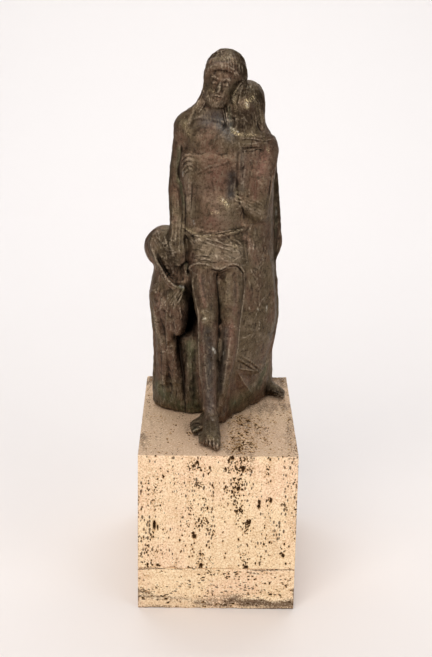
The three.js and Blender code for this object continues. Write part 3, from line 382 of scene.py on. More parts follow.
# The shape of a stroke across its line. off and side count in widths from the line, and side has a sign:
# a fold dips beside its ridge, and an edge rises slowly on its left and breaks off on its right.
PROFILES = {
    "round": lambda off, side: np.exp(-2.2 * off**2),
    "fold": lambda off, side: np.exp(-2.2 * off**2) - 0.55 * np.exp(-5.0 * (side - 1.25) ** 2),
    "edge": lambda off, side: np.where(side < 0, np.exp(-0.55 * off**2), np.exp(-14 * off**2))
    - 0.5 * np.exp(-7.0 * (side - 0.95) ** 2),
}


class Work:
    """What the strokes of one stage add up to, before the points are moved."""

    def __init__(self, surface):
        self.surface = surface
        self.points = surface.points
        self.normals = surface.normals()
        self.height = np.zeros(len(self.points))
        self.marks = np.zeros(len(self.points))

    def stroke(self, path, width, height, profile="round", taper=0.25, mark=None):
        """width is from the ridge's line to its foot. A fold or an edge falls away on its right side.
        mark is what the finish sees of it: 1 for a rubbed ridge, -1 for a dark groove."""
        if path is None:
            return
        if mark is None:
            mark = float(np.clip(height / MARK_FULL, -1, 1))
        reach = STROKE_REACH * width
        inside = ((self.points > path.min(0) - reach) & (self.points < path.max(0) + reach)).all(1)
        near = np.flatnonzero(inside)
        if not len(near):
            return
        here = self.points[near]
        best = np.full(len(near), np.inf)
        share = np.zeros(len(near))
        side = np.zeros(len(near))
        total = len(path) - 1
        for k, (a, b) in enumerate(zip(path, path[1:])):
            run = b - a
            t = np.clip((here - a) @ run / (run @ run + NEVER_ZERO), 0, 1)
            away = here - a - t[:, None] * run
            far = (away**2).sum(1)
            closer = far < best
            best[closer] = far[closer]
            share[closer] = ((k + t) / total)[closer]
            left = np.cross(self.normals[near[closer]], run)
            side[closer] = -np.sign((away[closer] * left).sum(1))
        off = np.sqrt(best) / width
        ends = np.clip(np.minimum(share, 1 - share) / max(taper, NEVER_ZERO), 0, 1)
        ends = np.where(taper > 0, ends * (2 - ends), 1)
        self.height[near] += height * ends * PROFILES[profile](off, off * side)
        sharp = MARK_SHARP * off
        self.marks[near] += mark * ends * PROFILES[profile](sharp, sharp * side)

    def strokes(self, paths, width, height, profile="round", taper=0.25, spread=0.0, mark=None):
        """A family of strokes whose heights, and less so their widths, differ by a share of spread."""
        for path in paths:
            by = 1 + spread * rng.uniform(-1, 1)
            self.stroke(path, width * (1 + 0.5 * (by - 1)), height * by, profile, taper, mark)

    def dab(self, place, radius, height):
        """A rounded press of the thumb, in or out."""
        if place is None:
            return
        away = np.linalg.norm(self.points - place, axis=1) / radius
        near = away < 1
        self.height[near] += height * (1 - away[near] ** 2) ** 2

    def done(self):
        """Moves the points by all that was worked."""
        self.surface.push(np.clip(self.height, -MOST_PUSH, MOST_PUSH))
        print("highest and deepest, mm:", self.height.max().round(2), self.height.min().round(2))


print("profiles of a stroke:", list(PROFILES))

# %% Rows of strokes
def press(work, name, rows):
    """Works rows of lines into the clay. A row is its lines and how they are worked, or dabs and None.
    A row's groove runs under each of its lines: how many pixels down, and its own sizes."""
    for lines, how in rows:
        if how is None:
            for place, radius, height in lines:
                work.dab(spot(*place), radius, height)
            continue
        sizes = {key: value for key, value in how.items() if key not in ("view", "groove")}
        if "spread" in how:
            work.strokes([cast(line, how.get("view", "photo")) for line in lines], **sizes)
            continue
        for line in lines:
            work.stroke(cast(line), **sizes)
            if "groove" in how:
                down, under = how["groove"]
                work.stroke(cast(lowered(line, down)), **under)
    print(name, "strokes and dabs:", sum(len(lines) for lines, _ in rows))


work = Work(clay)

# %% [markdown]
# ## Uneven hand work
#
# No hand leaves an even surface: the clay is put on in pellets, pressed by the thumb and dragged by the
# tool. Blender's own noise textures live in the finish alone, so this noise is worked out here on the
# points. It is the same on every run, and pulled long where cloth is dragged downwards.

# %% Uneven hand work
def lattice_noise(points, scale, seed):
    """Smooth noise from -1 to 1 that changes over the scale in mm, the same on every run. Each corner of a
    cell gets its value by mixing the bits of its three whole numbers with large primes."""
    at = points / scale
    cell = np.floor(at).astype(np.int64)
    part = at - cell
    fade = part**3 * (part * (part * 6 - 15) + 10)
    total = np.zeros(len(points))
    for corner in np.ndindex(2, 2, 2):
        knot = cell + corner
        mixed = knot[:, 0] * 73856093 ^ knot[:, 1] * 19349663 ^ knot[:, 2] * 83492791 ^ seed * 2654435761
        mixed = (mixed ^ (mixed >> 13)) * 1274126177
        value = ((mixed ^ (mixed >> 16)) & 0xFFFF) / 32767.5 - 1
        weight = np.prod(np.where(corner, fade, 1 - fade), axis=1)
        total += value * weight
    return total


def layered_noise(points, scale, seed, layers):
    """Noise with finer and fainter noise on it."""
    return sum(lattice_noise(points, scale / 2**k, seed + k) / 2**k for k in range(layers))


LUMP, PRESS, GRAIN = (9.0, 0.3), (4.0, 0.2), (1.9, 0.12)  # mm across and mm high
DRAGGED, DRAG = (2.6, 0.2), np.array([1.0, 1.0, 0.3])
THUMB_SEED, DRAG_SEED = 7, 31


def thumb_marks(work):
    for number, (size, height) in enumerate((LUMP, PRESS, GRAIN)):
        work.height += height * layered_noise(work.points, size, THUMB_SEED + number, 2)
    work.height += DRAGGED[1] * layered_noise(work.points * DRAG, DRAGGED[0], DRAG_SEED, 2)


thumb_marks(work)
print("thumb marks, mm high and deep:", work.height.max().round(2), work.height.min().round(2))

# %% [markdown]
# A wire tool then combs the surface. Its marks are short, run down the cloth, and turn slowly from place
# to place, so they are drawn by chance round one slow drift. Skin is rubbed smooth again.

# %% Marks of the tool
SCRATCH_AREA = (146, 52, 281, 412)  # left, top, right and bottom in pixels
SCRATCHES = 1500
SCRATCH_LENGTH, SCRATCH_WIDTH = (4, 16), (0.6, 1.0)  # pixels, mm
SCRATCH_HEIGHT, HEIGHT_SPREAD, SEEN = 0.3, (0.5, 1.4), (0.25, 0.7)
DRIFT, DRIFT_SIZE, DRIFT_SEED = 0.9, 26.0, 90  # radians, mm
WAVER, BEND = 0.2, 0.25  # radians
LOINCLOTH_AREA, LOINCLOTH_TURN, LOINCLOTH_DRIFT = (186, 232, 246, 266), -1.3, 0.4
SKIN_AREAS = [(190, 110, 238, 230), (188, 268, 246, 440), (249, 148, 274, 214), (166, 112, 190, 230)]
SKIN_CALM = 0.35  # how much of a tool mark shows on skin


def within(area, across, down):
    left, high, right, low = area
    return left < across < right and high < down < low


def scratch(across, down, turn):
    """A bent line of three steps from a pixel. A turn of 0 runs straight down."""
    length, bend = rng.uniform(*SCRATCH_LENGTH), rng.normal(0, BEND)
    line = [(across, down)]
    for step in range(3):
        angle = turn + bend * step
        across, down = across + length / 3 * -math.sin(angle), down + length / 3 * math.cos(angle)
        line.append((across, down))
    return line


def tool_marks(work):
    left, high, right, low = SCRATCH_AREA
    for _ in range(SCRATCHES):
        across, down = rng.uniform((left, high), (right, low))
        place = spot(across, down)
        if place is None:
            continue
        turn = DRIFT * lattice_noise(place[None], DRIFT_SIZE, DRIFT_SEED)[0] + rng.normal(0, WAVER)
        if within(LOINCLOTH_AREA, across, down):
            turn = LOINCLOTH_DRIFT * turn + LOINCLOTH_TURN
        line = scratch(across, down, turn)
        strength = SKIN_CALM if any(within(area, across, down) for area in SKIN_AREAS) else 1.0
        side = strength * rng.choice([-1, 1])
        width = rng.uniform(*SCRATCH_WIDTH)
        height = SCRATCH_HEIGHT * side * rng.uniform(*HEIGHT_SPREAD)
        work.stroke(cast(line), width, height, mark=side * rng.uniform(*SEEN))


tool_marks(work)
print("deepest mark of the tool so far, mm:", work.height.min().round(2))

# %% [markdown]
# ## The dead man
#
# The body is calm and thin: a soft edge under the chest, an arch of ribs, a hollow belly. A body scan or a
# sculpted mesh could give it muscles, but the sculptor only hinted at them. These marks are half a
# millimetre to two millimetres high, so they are worked with a few wide soft strokes.

# %% Torso
COLLARBONES = [[(192, 120), (199, 117), (207, 118)], [(212, 119), (219, 120), (225, 124)]]
CHEST_EDGES = [[(191, 150), (195, 153), (201, 154), (207, 152)], [(215, 153), (222, 155), (229, 152)]]
RIB_ARCH = [(194, 176), (199, 172), (204, 169), (210, 166), (217, 165), (223, 163), (229, 162)]
RIPPLES = [[(204, 159), (209, 158), (214, 159)], [(216, 161), (222, 160), (228, 158)],
           [(196, 164), (201, 162), (207, 162)]]
RIBS = [[(194, 160), (200, 158), (206, 160)], [(193, 167), (198, 165), (204, 163)],
        [(226, 167), (231, 165), (235, 161)], [(227, 174), (232, 171), (236, 167)]]
MIDLINE = [(212, 168), (213, 185), (215, 203)]
FLANK = [(193, 180), (192, 195), (191, 210), (192, 224)]
TORSO_DABS = [  # pixel, radius and height in mm
    ((217, 210), 3.0, -0.9), ((216, 213), 4.0, 0.8),  # the navel and the swell under it
    ((196, 146), 1.6, 0.6), ((222, 147), 1.6, 0.5),  # on the chest
    ((232, 183), 8.5, -1.6),  # the hollow of the waist
    ((186, 126), 6.0, 0.7), ((206, 124), 9.0, -0.6),  # the shoulder and the breastbone
]

press(work, "torso", [
    (COLLARBONES, dict(width=2.0, height=0.5, profile="fold")),
    (CHEST_EDGES, dict(width=2.0, height=-0.5)),
    ([lowered(RIB_ARCH, 2.2)], dict(width=1.6, height=-0.4)),
    ([RIB_ARCH], dict(width=1.8, height=0.45)),
    (RIPPLES, dict(width=1.1, height=0.35)),
    (RIBS, dict(width=1.6, height=-0.35)),
    ([MIDLINE], dict(width=2.6, height=-0.45)),
    ([FLANK], dict(width=2.4, height=-0.9)),
    (TORSO_DABS, None),
])

# %% [markdown]
# His right arm hangs free. The hand lies over the hood of the woman who crouches, and the second woman's
# fingers show under his arm where she holds him. The cloth of her sleeve falls from there. A finger this
# thin is only a ridge between two grooves, so that is how each one is made.

# %% Arm, hands and the sleeve between them
ARM_GROOVE = [(182, 143), (181, 152), (179, 162), (178, 172), (180, 182), (184, 191)]
ARM_INNER = [(184, 191), (185, 203), (185, 215), (184, 226)]
FINGER_LOOPS = [[(181, 161), (184, 156), (189, 154), (194, 156)],
                [(181, 166), (184, 161), (189, 159), (194, 161)],
                [(182, 171), (185, 166), (189, 164), (194, 166)],
                [(183, 176), (186, 171), (190, 169), (194, 171)]]
SLEEVE = between([(181, 172), (183, 186), (186, 200), (189, 226)],
                 [(192, 172), (191, 186), (191, 200), (192, 226)], 5)
WRIST = between([(170, 194), (170, 208), (171, 222)], [(182, 196), (183, 210), (182, 222)], 6)
HAND_GROOVES = [[(174, 214), (174, 228), (172, 244)], [(178, 212), (178, 230), (177, 250)],
                [(182, 212), (181, 232), (181, 256)], [(185, 216), (185, 236), (184, 258)]]
HAND_FINGERS = [[(172, 218), (172, 232), (171, 244)], [(176, 216), (176, 234), (175, 252)],
                [(180, 216), (180, 236), (179, 258)], [(183, 218), (183, 238), (183, 260)]]

press(work, "arm and hands", [
    ([ARM_GROOVE], dict(width=1.5, height=-2.6)),
    ([ARM_INNER], dict(width=1.2, height=-1.4)),
    (FINGER_LOOPS, dict(width=1.0, height=0.6, groove=(2.4, dict(width=0.9, height=-0.6)))),
    (SLEEVE, dict(width=0.9, height=0.45, profile="fold", spread=0.7)),
    (WRIST, dict(width=0.9, height=0.3, profile="fold", spread=0.7)),
    (HAND_GROOVES, dict(width=1.1, height=-0.5)),
    (HAND_FINGERS, dict(width=1.4, height=0.4)),
])

# %% [markdown]
# The legs hang straight and close together. A deep gap parts them, thin ridges draw their outer edges, and
# soft strokes give knees and shins. Toes are grooves cut between ridges, as a modeller cuts them.

# %% Legs and feet
LEG_GAP = [(217.5, 273), (218, 290), (219, 310), (219, 330), (218.5, 350), (217.5, 368), (217, 384)]
LEG_EDGES = [[(193, 270), (193, 285), (195.5, 300), (198.5, 315), (199, 340), (199.5, 365), (202, 392)],
             [(244.5, 273), (244, 292), (241.5, 312), (239, 330), (238, 346), (235, 362)]]
THIGH_HOLLOWS = [[(201, 272), (203, 285), (205, 300)], [(233, 272), (236, 288), (236, 303)]]
KNEE_RIMS = [[(198, 313), (202, 310.5), (207, 311), (210, 314)],
             [(200, 320), (203, 322), (207, 321.5), (210, 318)],
             [(226, 317), (231, 315), (236, 317)], [(228, 326), (232, 328), (236, 325)]]
SHIN_CRESTS = [[(203, 328), (204, 350), (206, 375), (209, 400)],
               [(231, 332), (229, 350), (225, 375), (222, 396)]]
SHIN_SIDES = [[(210, 328), (211, 350), (212, 378), (213, 402)],
              [(223, 332), (222, 352), (219, 378), (217, 396)]]
ANKLES = [((204, 408), 4.2, 1.0), ((214, 406), 4.2, 1.0), ((221, 405), 4.2, 1.0)]
RIGHT_TENDONS = [[(207, 412), (206, 424), (206, 436)], [(210, 412), (210, 424), (211, 437)],
                 [(214, 412), (215, 424), (218, 436)]]
RIGHT_TOES = [[(205, 441), (204, 445)], [(208.3, 440), (207.6, 447)], [(211.7, 440), (211.4, 448.5)],
              [(215.3, 439), (215.5, 450)]]
TOE_RIDGES = [[(206.5, 438), (206, 446)], [(210, 438), (209.6, 448)], [(213.6, 437), (213.6, 449)],
              [(217.4, 438), (218, 447)], [(200, 421.5), (195, 421.5), (191.8, 424)],
              [(200, 425.5), (195, 425), (191.2, 428)], [(200, 429.5), (196, 429.5), (192, 432)],
              [(200, 433.3), (197, 433.6), (194, 435.5)]]
LEFT_TOES = [[(200, 423.5), (195, 423), (191.5, 426)], [(201, 427.5), (196, 427), (191.5, 430)],
             [(201, 431.5), (197, 431.5), (193, 434)], [(201, 435), (198, 435.5), (195.5, 437)]]

press(work, "legs and feet", [
    ([LEG_GAP], dict(width=1.6, height=-3.4, taper=0.1)),
    (LEG_EDGES, dict(width=0.8, height=1.0, taper=0.1, mark=1.3)),
    (THIGH_HOLLOWS, dict(width=3.6, height=-0.6)),
    (KNEE_RIMS, dict(width=1.0, height=0.5)),
    (SHIN_CRESTS, dict(width=1.6, height=0.6)),
    (SHIN_SIDES, dict(width=2.0, height=-0.5)),
    (ANKLES, None),
    (RIGHT_TENDONS, dict(width=1.0, height=0.45)),
    (RIGHT_TOES, dict(width=0.75, height=-1.3, taper=0.1)),
    (LEFT_TOES, dict(width=0.7, height=-1.2, taper=0.1)),
    (TOE_RIDGES, dict(width=0.8, height=0.4, mark=0.9)),
])

# %% [markdown]
# ## Cloth
#
# All the cloth is bronze. A cloth simulation would hang it anew on each body, and its folds would fall
# somewhere else, so the folds are strokes too. The loincloth is wound tight: its folds cross it in low
# slanting bands, and its edge lies free over each thigh. A free edge rises slowly, then breaks off with
# a shadow, which is the groove that runs under it.

# %% Loincloth
UPPER_HEM = [(182, 227), (187, 230), (192, 234), (198, 236), (206, 235), (216, 233), (228, 231),
             (243, 229)]
HEMS = [[(189, 270), (191, 266.5), (195, 264.5), (201, 264), (207, 265), (211, 267)],
        [(211, 267), (215, 269), (219, 270), (224, 268), (227, 266)],
        [(227, 266), (232, 264.5), (237, 265), (241, 268), (244.5, 273)]]
BANDS = [[(199, 240), (208, 243), (220, 247), (230, 250), (240, 253)],
         [(203, 238), (216, 241), (228, 245), (240, 247)],
         [(186, 233), (189, 239), (193, 245)], [(191, 238), (196, 243), (204, 245)],
         [(195, 247), (201, 250), (207, 250)], [(187, 245), (190, 253), (189, 262)],
         [(192, 258), (200, 255), (210, 256), (218, 254)], [(233, 239), (238, 241), (243, 246)],
         [(243, 254), (238, 258), (233, 261)], [(220, 258), (226, 261), (233, 262)],
         [(246, 232), (245, 244), (247, 258), (249, 270)], [(198, 260), (206, 259), (214, 262)]]
KNOT_LUMPS = [((236, 246), 3.4, 1.2), ((231, 242), 3.0, 0.7), ((238, 254), 3.4, 0.9),
              ((196, 240), 3.0, 0.7), ((202, 247), 2.6, 0.6), ((192, 251), 3.0, 0.6)]

press(work, "loincloth", [
    ([UPPER_HEM], dict(width=0.9, height=0.8, profile="fold", taper=0.08,
                       groove=(2.6, dict(width=1.2, height=-0.35, taper=0.08)))),
    (HEMS, dict(width=1.2, height=0.9, profile="edge", taper=0.12,
                groove=(2.0, dict(width=1.0, height=-0.9, taper=0.1)))),
    (BANDS, dict(width=1.0, height=0.6, profile="fold", spread=0.5)),
    (KNOT_LUMPS, None),
])

# %% [markdown]
# The woman who stands behind him wears a loose robe: soft rings of cloth round her neck, long sleeves that
# hang from her forearm, and a wide skirt that only folds where his legs press it and where it meets the
# ground. Most of its folds are families between two guide lines, because one by one they are too alike.

# %% The standing woman's collar, sleeves and robe
COLLAR = [[(238, 131), (246, 134), (256, 136), (268, 137), (275, 138)],
          [(239, 139), (250, 138), (262, 140), (272, 139), (276, 141)],
          [(240, 144), (252, 144), (263, 142), (272, 146)],
          [(241, 150), (250, 150), (259, 148), (266, 150)]]
UPPER_ARM_FRONT = [(257, 152), (253, 164), (250, 176), (248, 188), (246, 196)]
UPPER_ARM_BACK = [(276, 150), (275, 165), (271, 182), (268, 200), (267, 214)]
BODY_SEAM = [(238, 150), (238, 162), (237, 176), (237, 190), (239, 202), (243, 212), (245, 224)]
SLEEVE_HANGS = between([(240, 150), (240, 165), (239, 180), (239, 194)],
                       [(250, 154), (248, 168), (246, 182), (244, 194)], 4)
FOREARM = between([(241, 196), (250, 199), (260, 203), (266, 210)],
                  [(240, 207), (248, 211), (257, 216), (264, 219)], 5)
HOLDING_FINGERS = [[(235, 191), (239, 193), (244, 195)], [(234, 195), (238, 197), (243, 199)],
                   [(234, 199), (238, 201), (243, 203)]]
BACK_ARM = [(272, 168), (271, 186), (269, 204), (269, 222), (271, 240), (272, 258)]
UNDER_ARM = between([(242, 214), (243, 228), (246, 246), (249, 276)],
                    [(263, 222), (260, 236), (257, 250), (251, 278)], 4)
ROBE_DIAGONALS = [[(267, 260), (261, 266), (255, 273), (250, 280)], [(264, 270), (258, 278), (252, 288)],
                  [(268, 282), (260, 292), (250, 300)]]
ROBE_LOW = [[(237, 353), (244, 357), (252, 362), (259, 368), (264, 372)],
            [(236, 358), (244, 362), (252, 367), (260, 372)],
            [(234, 366), (242, 369), (251, 370), (260, 373)],
            [(236, 369), (240, 376), (245, 384), (250, 391), (254, 395)],
            [(231, 374), (233, 383), (236, 392), (240, 400)], [(228, 384), (229, 395), (231, 408)]]
ROBE_WAVES = [[(243, 318), (252, 322), (262, 321), (272, 314)], [(244, 328), (254, 330), (264, 326)],
              [(246, 338), (254, 342), (263, 338), (270, 330)], [(249, 350), (257, 347), (266, 340)],
              [(241, 312), (248, 313), (256, 310)], [(242, 334), (249, 335), (256, 334)]]
ROBE_HEM = [(222, 420), (230, 415), (240, 409), (250, 403), (258, 398), (263, 393)]
HER_TOES = [[(274, 389.5), (279, 391.5), (284, 393)], [(273, 392), (278, 394.5), (283, 396)]]
ROBE_WORN = [((246, 324), 4, 0.6), ((252, 330), 5, 0.8), ((259, 333), 5, 0.7), ((248, 340), 4, 0.5),
             ((264, 308), 4, 0.8), ((256, 318), 4, 0.4), ((262, 342), 5, 0.5), ((268, 322), 5, 0.5)]

# %% Press the robe
press(work, "robe", [
    (COLLAR, dict(width=0.9, height=0.55, profile="fold", spread=0.5)),
    ([UPPER_ARM_FRONT], dict(width=1.8, height=-0.7, mark=-0.25)),
    ([UPPER_ARM_BACK], dict(width=1.4, height=-0.8, mark=-0.4)),
    (SLEEVE_HANGS, dict(width=1.2, height=0.35, profile="fold", spread=0.8)),
    ([BODY_SEAM], dict(width=1.7, height=-1.2, mark=-0.35)),
    (FOREARM, dict(width=1.0, height=0.35, profile="fold", spread=0.7)),
    (HOLDING_FINGERS, dict(width=1.2, height=0.5, groove=(2.2, dict(width=0.8, height=-0.4)))),
    ([BACK_ARM], dict(width=1.3, height=-1.8)),
    (UNDER_ARM, dict(width=1.8, height=0.22, profile="fold", spread=0.7)),
    (ROBE_DIAGONALS, dict(width=1.4, height=0.35, profile="fold", spread=0.3)),
    (ROBE_LOW, dict(width=1.4, height=0.55, profile="fold", taper=0.4, spread=0.4)),
    (ROBE_WAVES, dict(width=1.1, height=0.4, taper=0.5, spread=0.5)),
    (ROBE_WORN, None),
    ([ROBE_HEM], dict(width=1.6, height=0.9, taper=0.1)),
    (HER_TOES, dict(width=0.8, height=-1.2, taper=0.1)),
])

# %% [markdown]
# The crouching woman is almost all cloak. Its hood stands open over a dark recess, a wide sleeve falls from
# her wrist in deep folds, and the skirt closes round her knees. The recess is pressed in deeper than any
# fold, so that it stays dark from every side.

# %% The crouching woman's hood, sleeve and cloak
HOOD_EDGE = [(149, 240), (152, 249), (156, 259), (161, 268), (166, 277), (172, 284), (178, 287)]
HOOD_RECESS = [(157, 252), (160, 260), (164, 268), (169, 276), (174, 281)]
SLEEVE_FOLDS = [[(184, 285), (178, 292), (172, 300), (168, 308), (166, 320), (166, 334)],
                [(186, 287), (182, 292), (178, 297), (175, 304), (173, 312)],
                [(182, 288), (176, 297), (171, 307), (170, 320), (171, 334)],
                [(184, 290), (181, 297), (177, 305)], [(179, 305), (181, 314), (182, 318)],
                [(175, 316), (175, 324), (177, 332)]]
CLOAK = between([(155, 306), (157, 322), (158, 338), (158, 352)],
                [(171, 306), (171, 322), (171, 338), (172, 352)], 4)
CLOAK_SHOULDER = [[(151, 262), (155, 274), (160, 284), (166, 290)], [(149, 286), (156, 292), (164, 295)],
                  [(150, 300), (157, 304), (164, 304)]]
SKIRT = between([(188, 342), (188, 362), (189, 384), (189, 406)],
                [(196, 342), (197, 362), (199, 384), (200, 404)], 4)
SKIRT_CREASE = [(180, 342), (181, 358), (183, 376), (184, 394), (185, 412)]
LAP_EDGE = [(155, 390), (159, 384), (166, 382), (174, 382), (180, 385)]

press(work, "cloak", [
    ([HOOD_EDGE], dict(width=1.5, height=1.2, taper=0.1)),
    ([HOOD_RECESS], dict(width=2.0, height=-2.2)),
    (SLEEVE_FOLDS, dict(width=1.2, height=0.85, profile="fold", taper=0.4, spread=0.4)),
    (CLOAK, dict(width=2.0, height=0.25, profile="fold", spread=0.6)),
    (CLOAK_SHOULDER, dict(width=1.8, height=0.5, profile="fold", spread=0.0)),
    (SKIRT, dict(width=1.0, height=0.22, profile="fold", spread=0.6)),
    ([SKIRT_CREASE], dict(width=1.6, height=-2.2, taper=0.05)),
    ([LAP_EDGE], dict(width=2.4, height=0.4, taper=0.4,
                      groove=(4, dict(width=3.2, height=-0.5, taper=0.4, mark=-0.1)))),
])

# %% [markdown]
# ## Hair
#
# The hair is modelled in locks, and a lock is a bundle of strands that run the same way. Blender's hair
# curves would make thousands of loose hairs, which bronze can't have. So each bundle is worked between
# two guide lines, and short curls are scattered over it by chance.

# %% Hair and veils
HAIR_CAP = between([(222, 49), (213, 54), (207, 62), (205, 73)],
                   [(229, 49), (238, 53), (244, 62), (246, 74)], 15)
FRINGE = [(207, 70), (212, 66), (219, 65), (227, 66), (234, 70), (240, 77)]
LEFT_LOCK = between([(204, 80), (202, 92), (197, 101), (188, 108)],
                    [(209, 92), (207, 101), (204, 108), (200, 116)], 6)
RIGHT_LOCK = between([(222, 106), (224, 114), (226, 126)], [(230, 103), (231, 114), (231, 128)], 4)
SIDE_LOCK = between([(238, 80), (237, 88), (233, 96), (231, 104)],
                    [(246, 76), (244, 80), (240, 84), (236, 92)], 4)
HER_PARTING = [(248, 82), (246, 94), (243, 108)]
HER_HAIR_LEFT = between([(238, 87), (234, 96), (233, 106)], HER_PARTING, 7)
HER_HAIR_RIGHT = between(HER_PARTING, [(256, 84), (263, 94), (265, 108)], 9)
HER_TRESS = between([(251, 110), (253, 119), (254, 128)], [(264, 104), (266, 116), (268, 128)], 6)
# The middle of each group of curls and its spread in pixels, how many, and their size in pixels.
CURLS = [((168, 250), (9, 15), 44, (1.6, 3.2)), ((226, 58), (22, 10), 34, (1.2, 2.2)),
         ((236, 98), (7, 16), 12, (1.2, 2.4)), ((259, 100), (8, 18), 14, (1.2, 2.4))]
CURL_TURN, CURL_POINTS = 0.8, 5  # radians between the points of a curl, and how many


def curls(work):
    for middle, spread, count, sizes in CURLS:
        for _ in range(count):
            across, down = rng.normal(middle, np.array(spread) / 2)
            start = rng.uniform(0, 2 * math.pi)
            turn = [start + step * CURL_TURN for step in range(CURL_POINTS)]
            size = rng.uniform(*sizes)
            curl = [(across + size * math.cos(a), down + size * math.sin(a)) for a in turn]
            work.stroke(cast(curl), width=0.8, height=0.5)


press(work, "hair", [
    (HAIR_CAP, dict(width=0.9, height=0.35, profile="fold", taper=0.1, spread=0.7)),
    ([FRINGE], dict(width=1.4, height=0.6, taper=0.1)),
    (LEFT_LOCK, dict(width=0.9, height=0.6, profile="fold", spread=0.5)),
    (RIGHT_LOCK, dict(width=0.9, height=0.8, profile="fold", spread=0.3)),
    (SIDE_LOCK, dict(width=0.9, height=0.6, profile="fold", spread=0.3)),
    (HER_HAIR_LEFT, dict(width=0.8, height=0.3, profile="fold", spread=0.7)),
    (HER_HAIR_RIGHT, dict(width=0.8, height=0.3, profile="fold", spread=0.7)),
    (HER_TRESS, dict(width=0.9, height=0.6, profile="fold", spread=0.5)),
])
curls(work)

# %% [markdown]
# ## Faces
#
# The faces are calm and general, on the proportions of a drawing school: the eyes halfway down the
# head, one eye's width between them, the nose's foot and the mouth at a third each of what is below.
# They aren't taken from the photograph. A face is worked in its own small frame, in eye widths from the
# middle of the eyes, so that one design serves all three heads and tilts with each.

# %% The features of a general face
# Points are in eye widths. A dab's width is its radius in eye widths, a stroke's is in mm, and height is mm.
ON_EACH_SIDE = [
    ("eyeball", (1.0, -0.05), dict(width=0.62, height=1.3)),
    ("closed lids", [(0.55, -0.12), (1.0, -0.26), (1.45, -0.1)], dict(width=0.7, height=-0.7)),
    ("fold over the lid", [(0.5, 0.25), (1.0, 0.42), (1.5, 0.2)], dict(width=0.8, height=-0.5)),
    ("brow", [(0.3, 0.62), (0.9, 0.9), (1.6, 0.62)], dict(width=1.5, height=0.9)),
    ("wing of the nose", (0.34, -1.22), dict(width=0.26, height=0.8)),
    ("side of the nose", [(0.42, -0.2), (0.5, -0.7), (0.62, -1.15)], dict(width=1.0, height=-0.5)),
    ("cheek", (1.15, -0.95), dict(width=0.7, height=0.5)),
]
IN_THE_MIDDLE = [
    ("bridge of the nose", [(0, 0.5), (0, -0.4), (0, -1.15)], dict(width=1.5, height=1.2, taper=0.3)),
    ("tip of the nose", (0, -1.15), dict(width=0.38, height=0.9)),
    ("foot of the nose", [(-0.35, -1.42), (0, -1.46), (0.35, -1.42)], dict(width=0.8, height=-0.8)),
    ("upper lip", [(-0.6, -1.82), (0, -1.76), (0.6, -1.82)], dict(width=0.8, height=0.5)),
    ("mouth", [(-0.7, -2.02), (0, -1.98), (0.7, -2.02)], dict(width=0.7, height=-1.0)),
    ("lower lip", [(-0.5, -2.25), (0, -2.3), (0.5, -2.25)], dict(width=0.9, height=0.7)),
]
print("features of a face:", 2 * len(ON_EACH_SIDE) + len(IN_THE_MIDDLE))

# %% A face in its own frame
FACE_STEP, NUDGE = 0.1, 0.02  # eye widths between the points of a path, and the shortest path


class Face:
    """A small frame on a head: across, up and ahead into it, in eye widths from the middle of the eyes."""

    def __init__(self, middle, lean, nod, eye, depth=1.0):
        """middle is in mm over the plinth's top, lean and nod are degrees, eye is an eye's width in mm."""
        turn = Matrix.Rotation(math.radians(lean), 3, "Y") @ Matrix.Rotation(math.radians(nod), 3, "X")
        self.across, self.ahead, self.up = (turn.col[axis] for axis in range(3))
        self.middle = Vector(middle) + Vector((0, 0, block_high.z / MM))
        self.eye = eye
        self.depth = depth

    def sight(self, u, v):
        start = self.middle + (self.across * u + self.up * v) * self.eye - self.ahead * FAR_AWAY
        return start, self.ahead

    def path(self, points):
        return landed(self.sight(u, v) for u, v in smooth_line(points, FACE_STEP))

    def place(self, u, v):
        line = self.path([(u, v), (u, v - NUDGE)])
        return None if line is None else line[0]

    def work_feature(self, work, where, side, width, height, **more):
        """side is -1 for the mirrored half of the face."""
        if isinstance(where, tuple):
            u, v = where
            work.dab(self.place(side * u, v), width * self.eye, height * self.depth)
        else:
            work.stroke(self.path([(side * u, v) for u, v in where]), width, height * self.depth, **more)


# %% Three faces
MOUSTACHE_HAIRS, BEARD_HAIRS = 4, 11


def features(work, face):
    for side in (-1, 1):
        for _, where, sizes in ON_EACH_SIDE:
            face.work_feature(work, where, side, **sizes)
    for _, where, sizes in IN_THE_MIDDLE:
        face.work_feature(work, where, 1, **sizes)


def beard(work, face):
    for side in (-1, 1):
        for k in range(MOUSTACHE_HAIRS):
            edge = 0.25 + 0.22 * k
            strand = [(edge * 0.6, -1.65), (edge, -1.85), (edge + 0.35, -2.25)]
            work.stroke(face.path([(side * u, v) for u, v in strand]), width=0.8, height=0.4)
    for k in range(BEARD_HAIRS):
        u = -1.5 + 0.3 * k
        strand = [(u, -2.5 + 0.1 * abs(k - BEARD_HAIRS // 2)), (0.8 * u, -3.1), (0.55 * u, -3.7)]
        work.stroke(face.path(strand), width=0.9, height=0.6, profile="fold")


dead_man = Face((-3.0, 0, 333.0), lean=10, nod=6, eye=6.0)
standing_woman = Face((14.5, 0, 301.5), lean=10, nod=28, eye=5.0, depth=0.6)
crouching_woman = Face((-46.0, 0, 158.0), lean=-4, nod=20, eye=5.2, depth=0.7)
features(work, dead_man)
beard(work, dead_man)
features(work, standing_woman)
features(work, crouching_woman)
print("faces worked, mm high and deep:", work.height.max().round(2), work.height.min().round(2))

# %% [markdown]
# ## The hidden sides
#
# Behind, the mantle falls from the shoulders to the plinth, and on either side the cloaks close. Nothing
# of that shows in the photograph, so it could be left smooth, but a sculptor finishes the back as well.
# Long plain folds are spread there between guide lines in mm, seen square from each side.

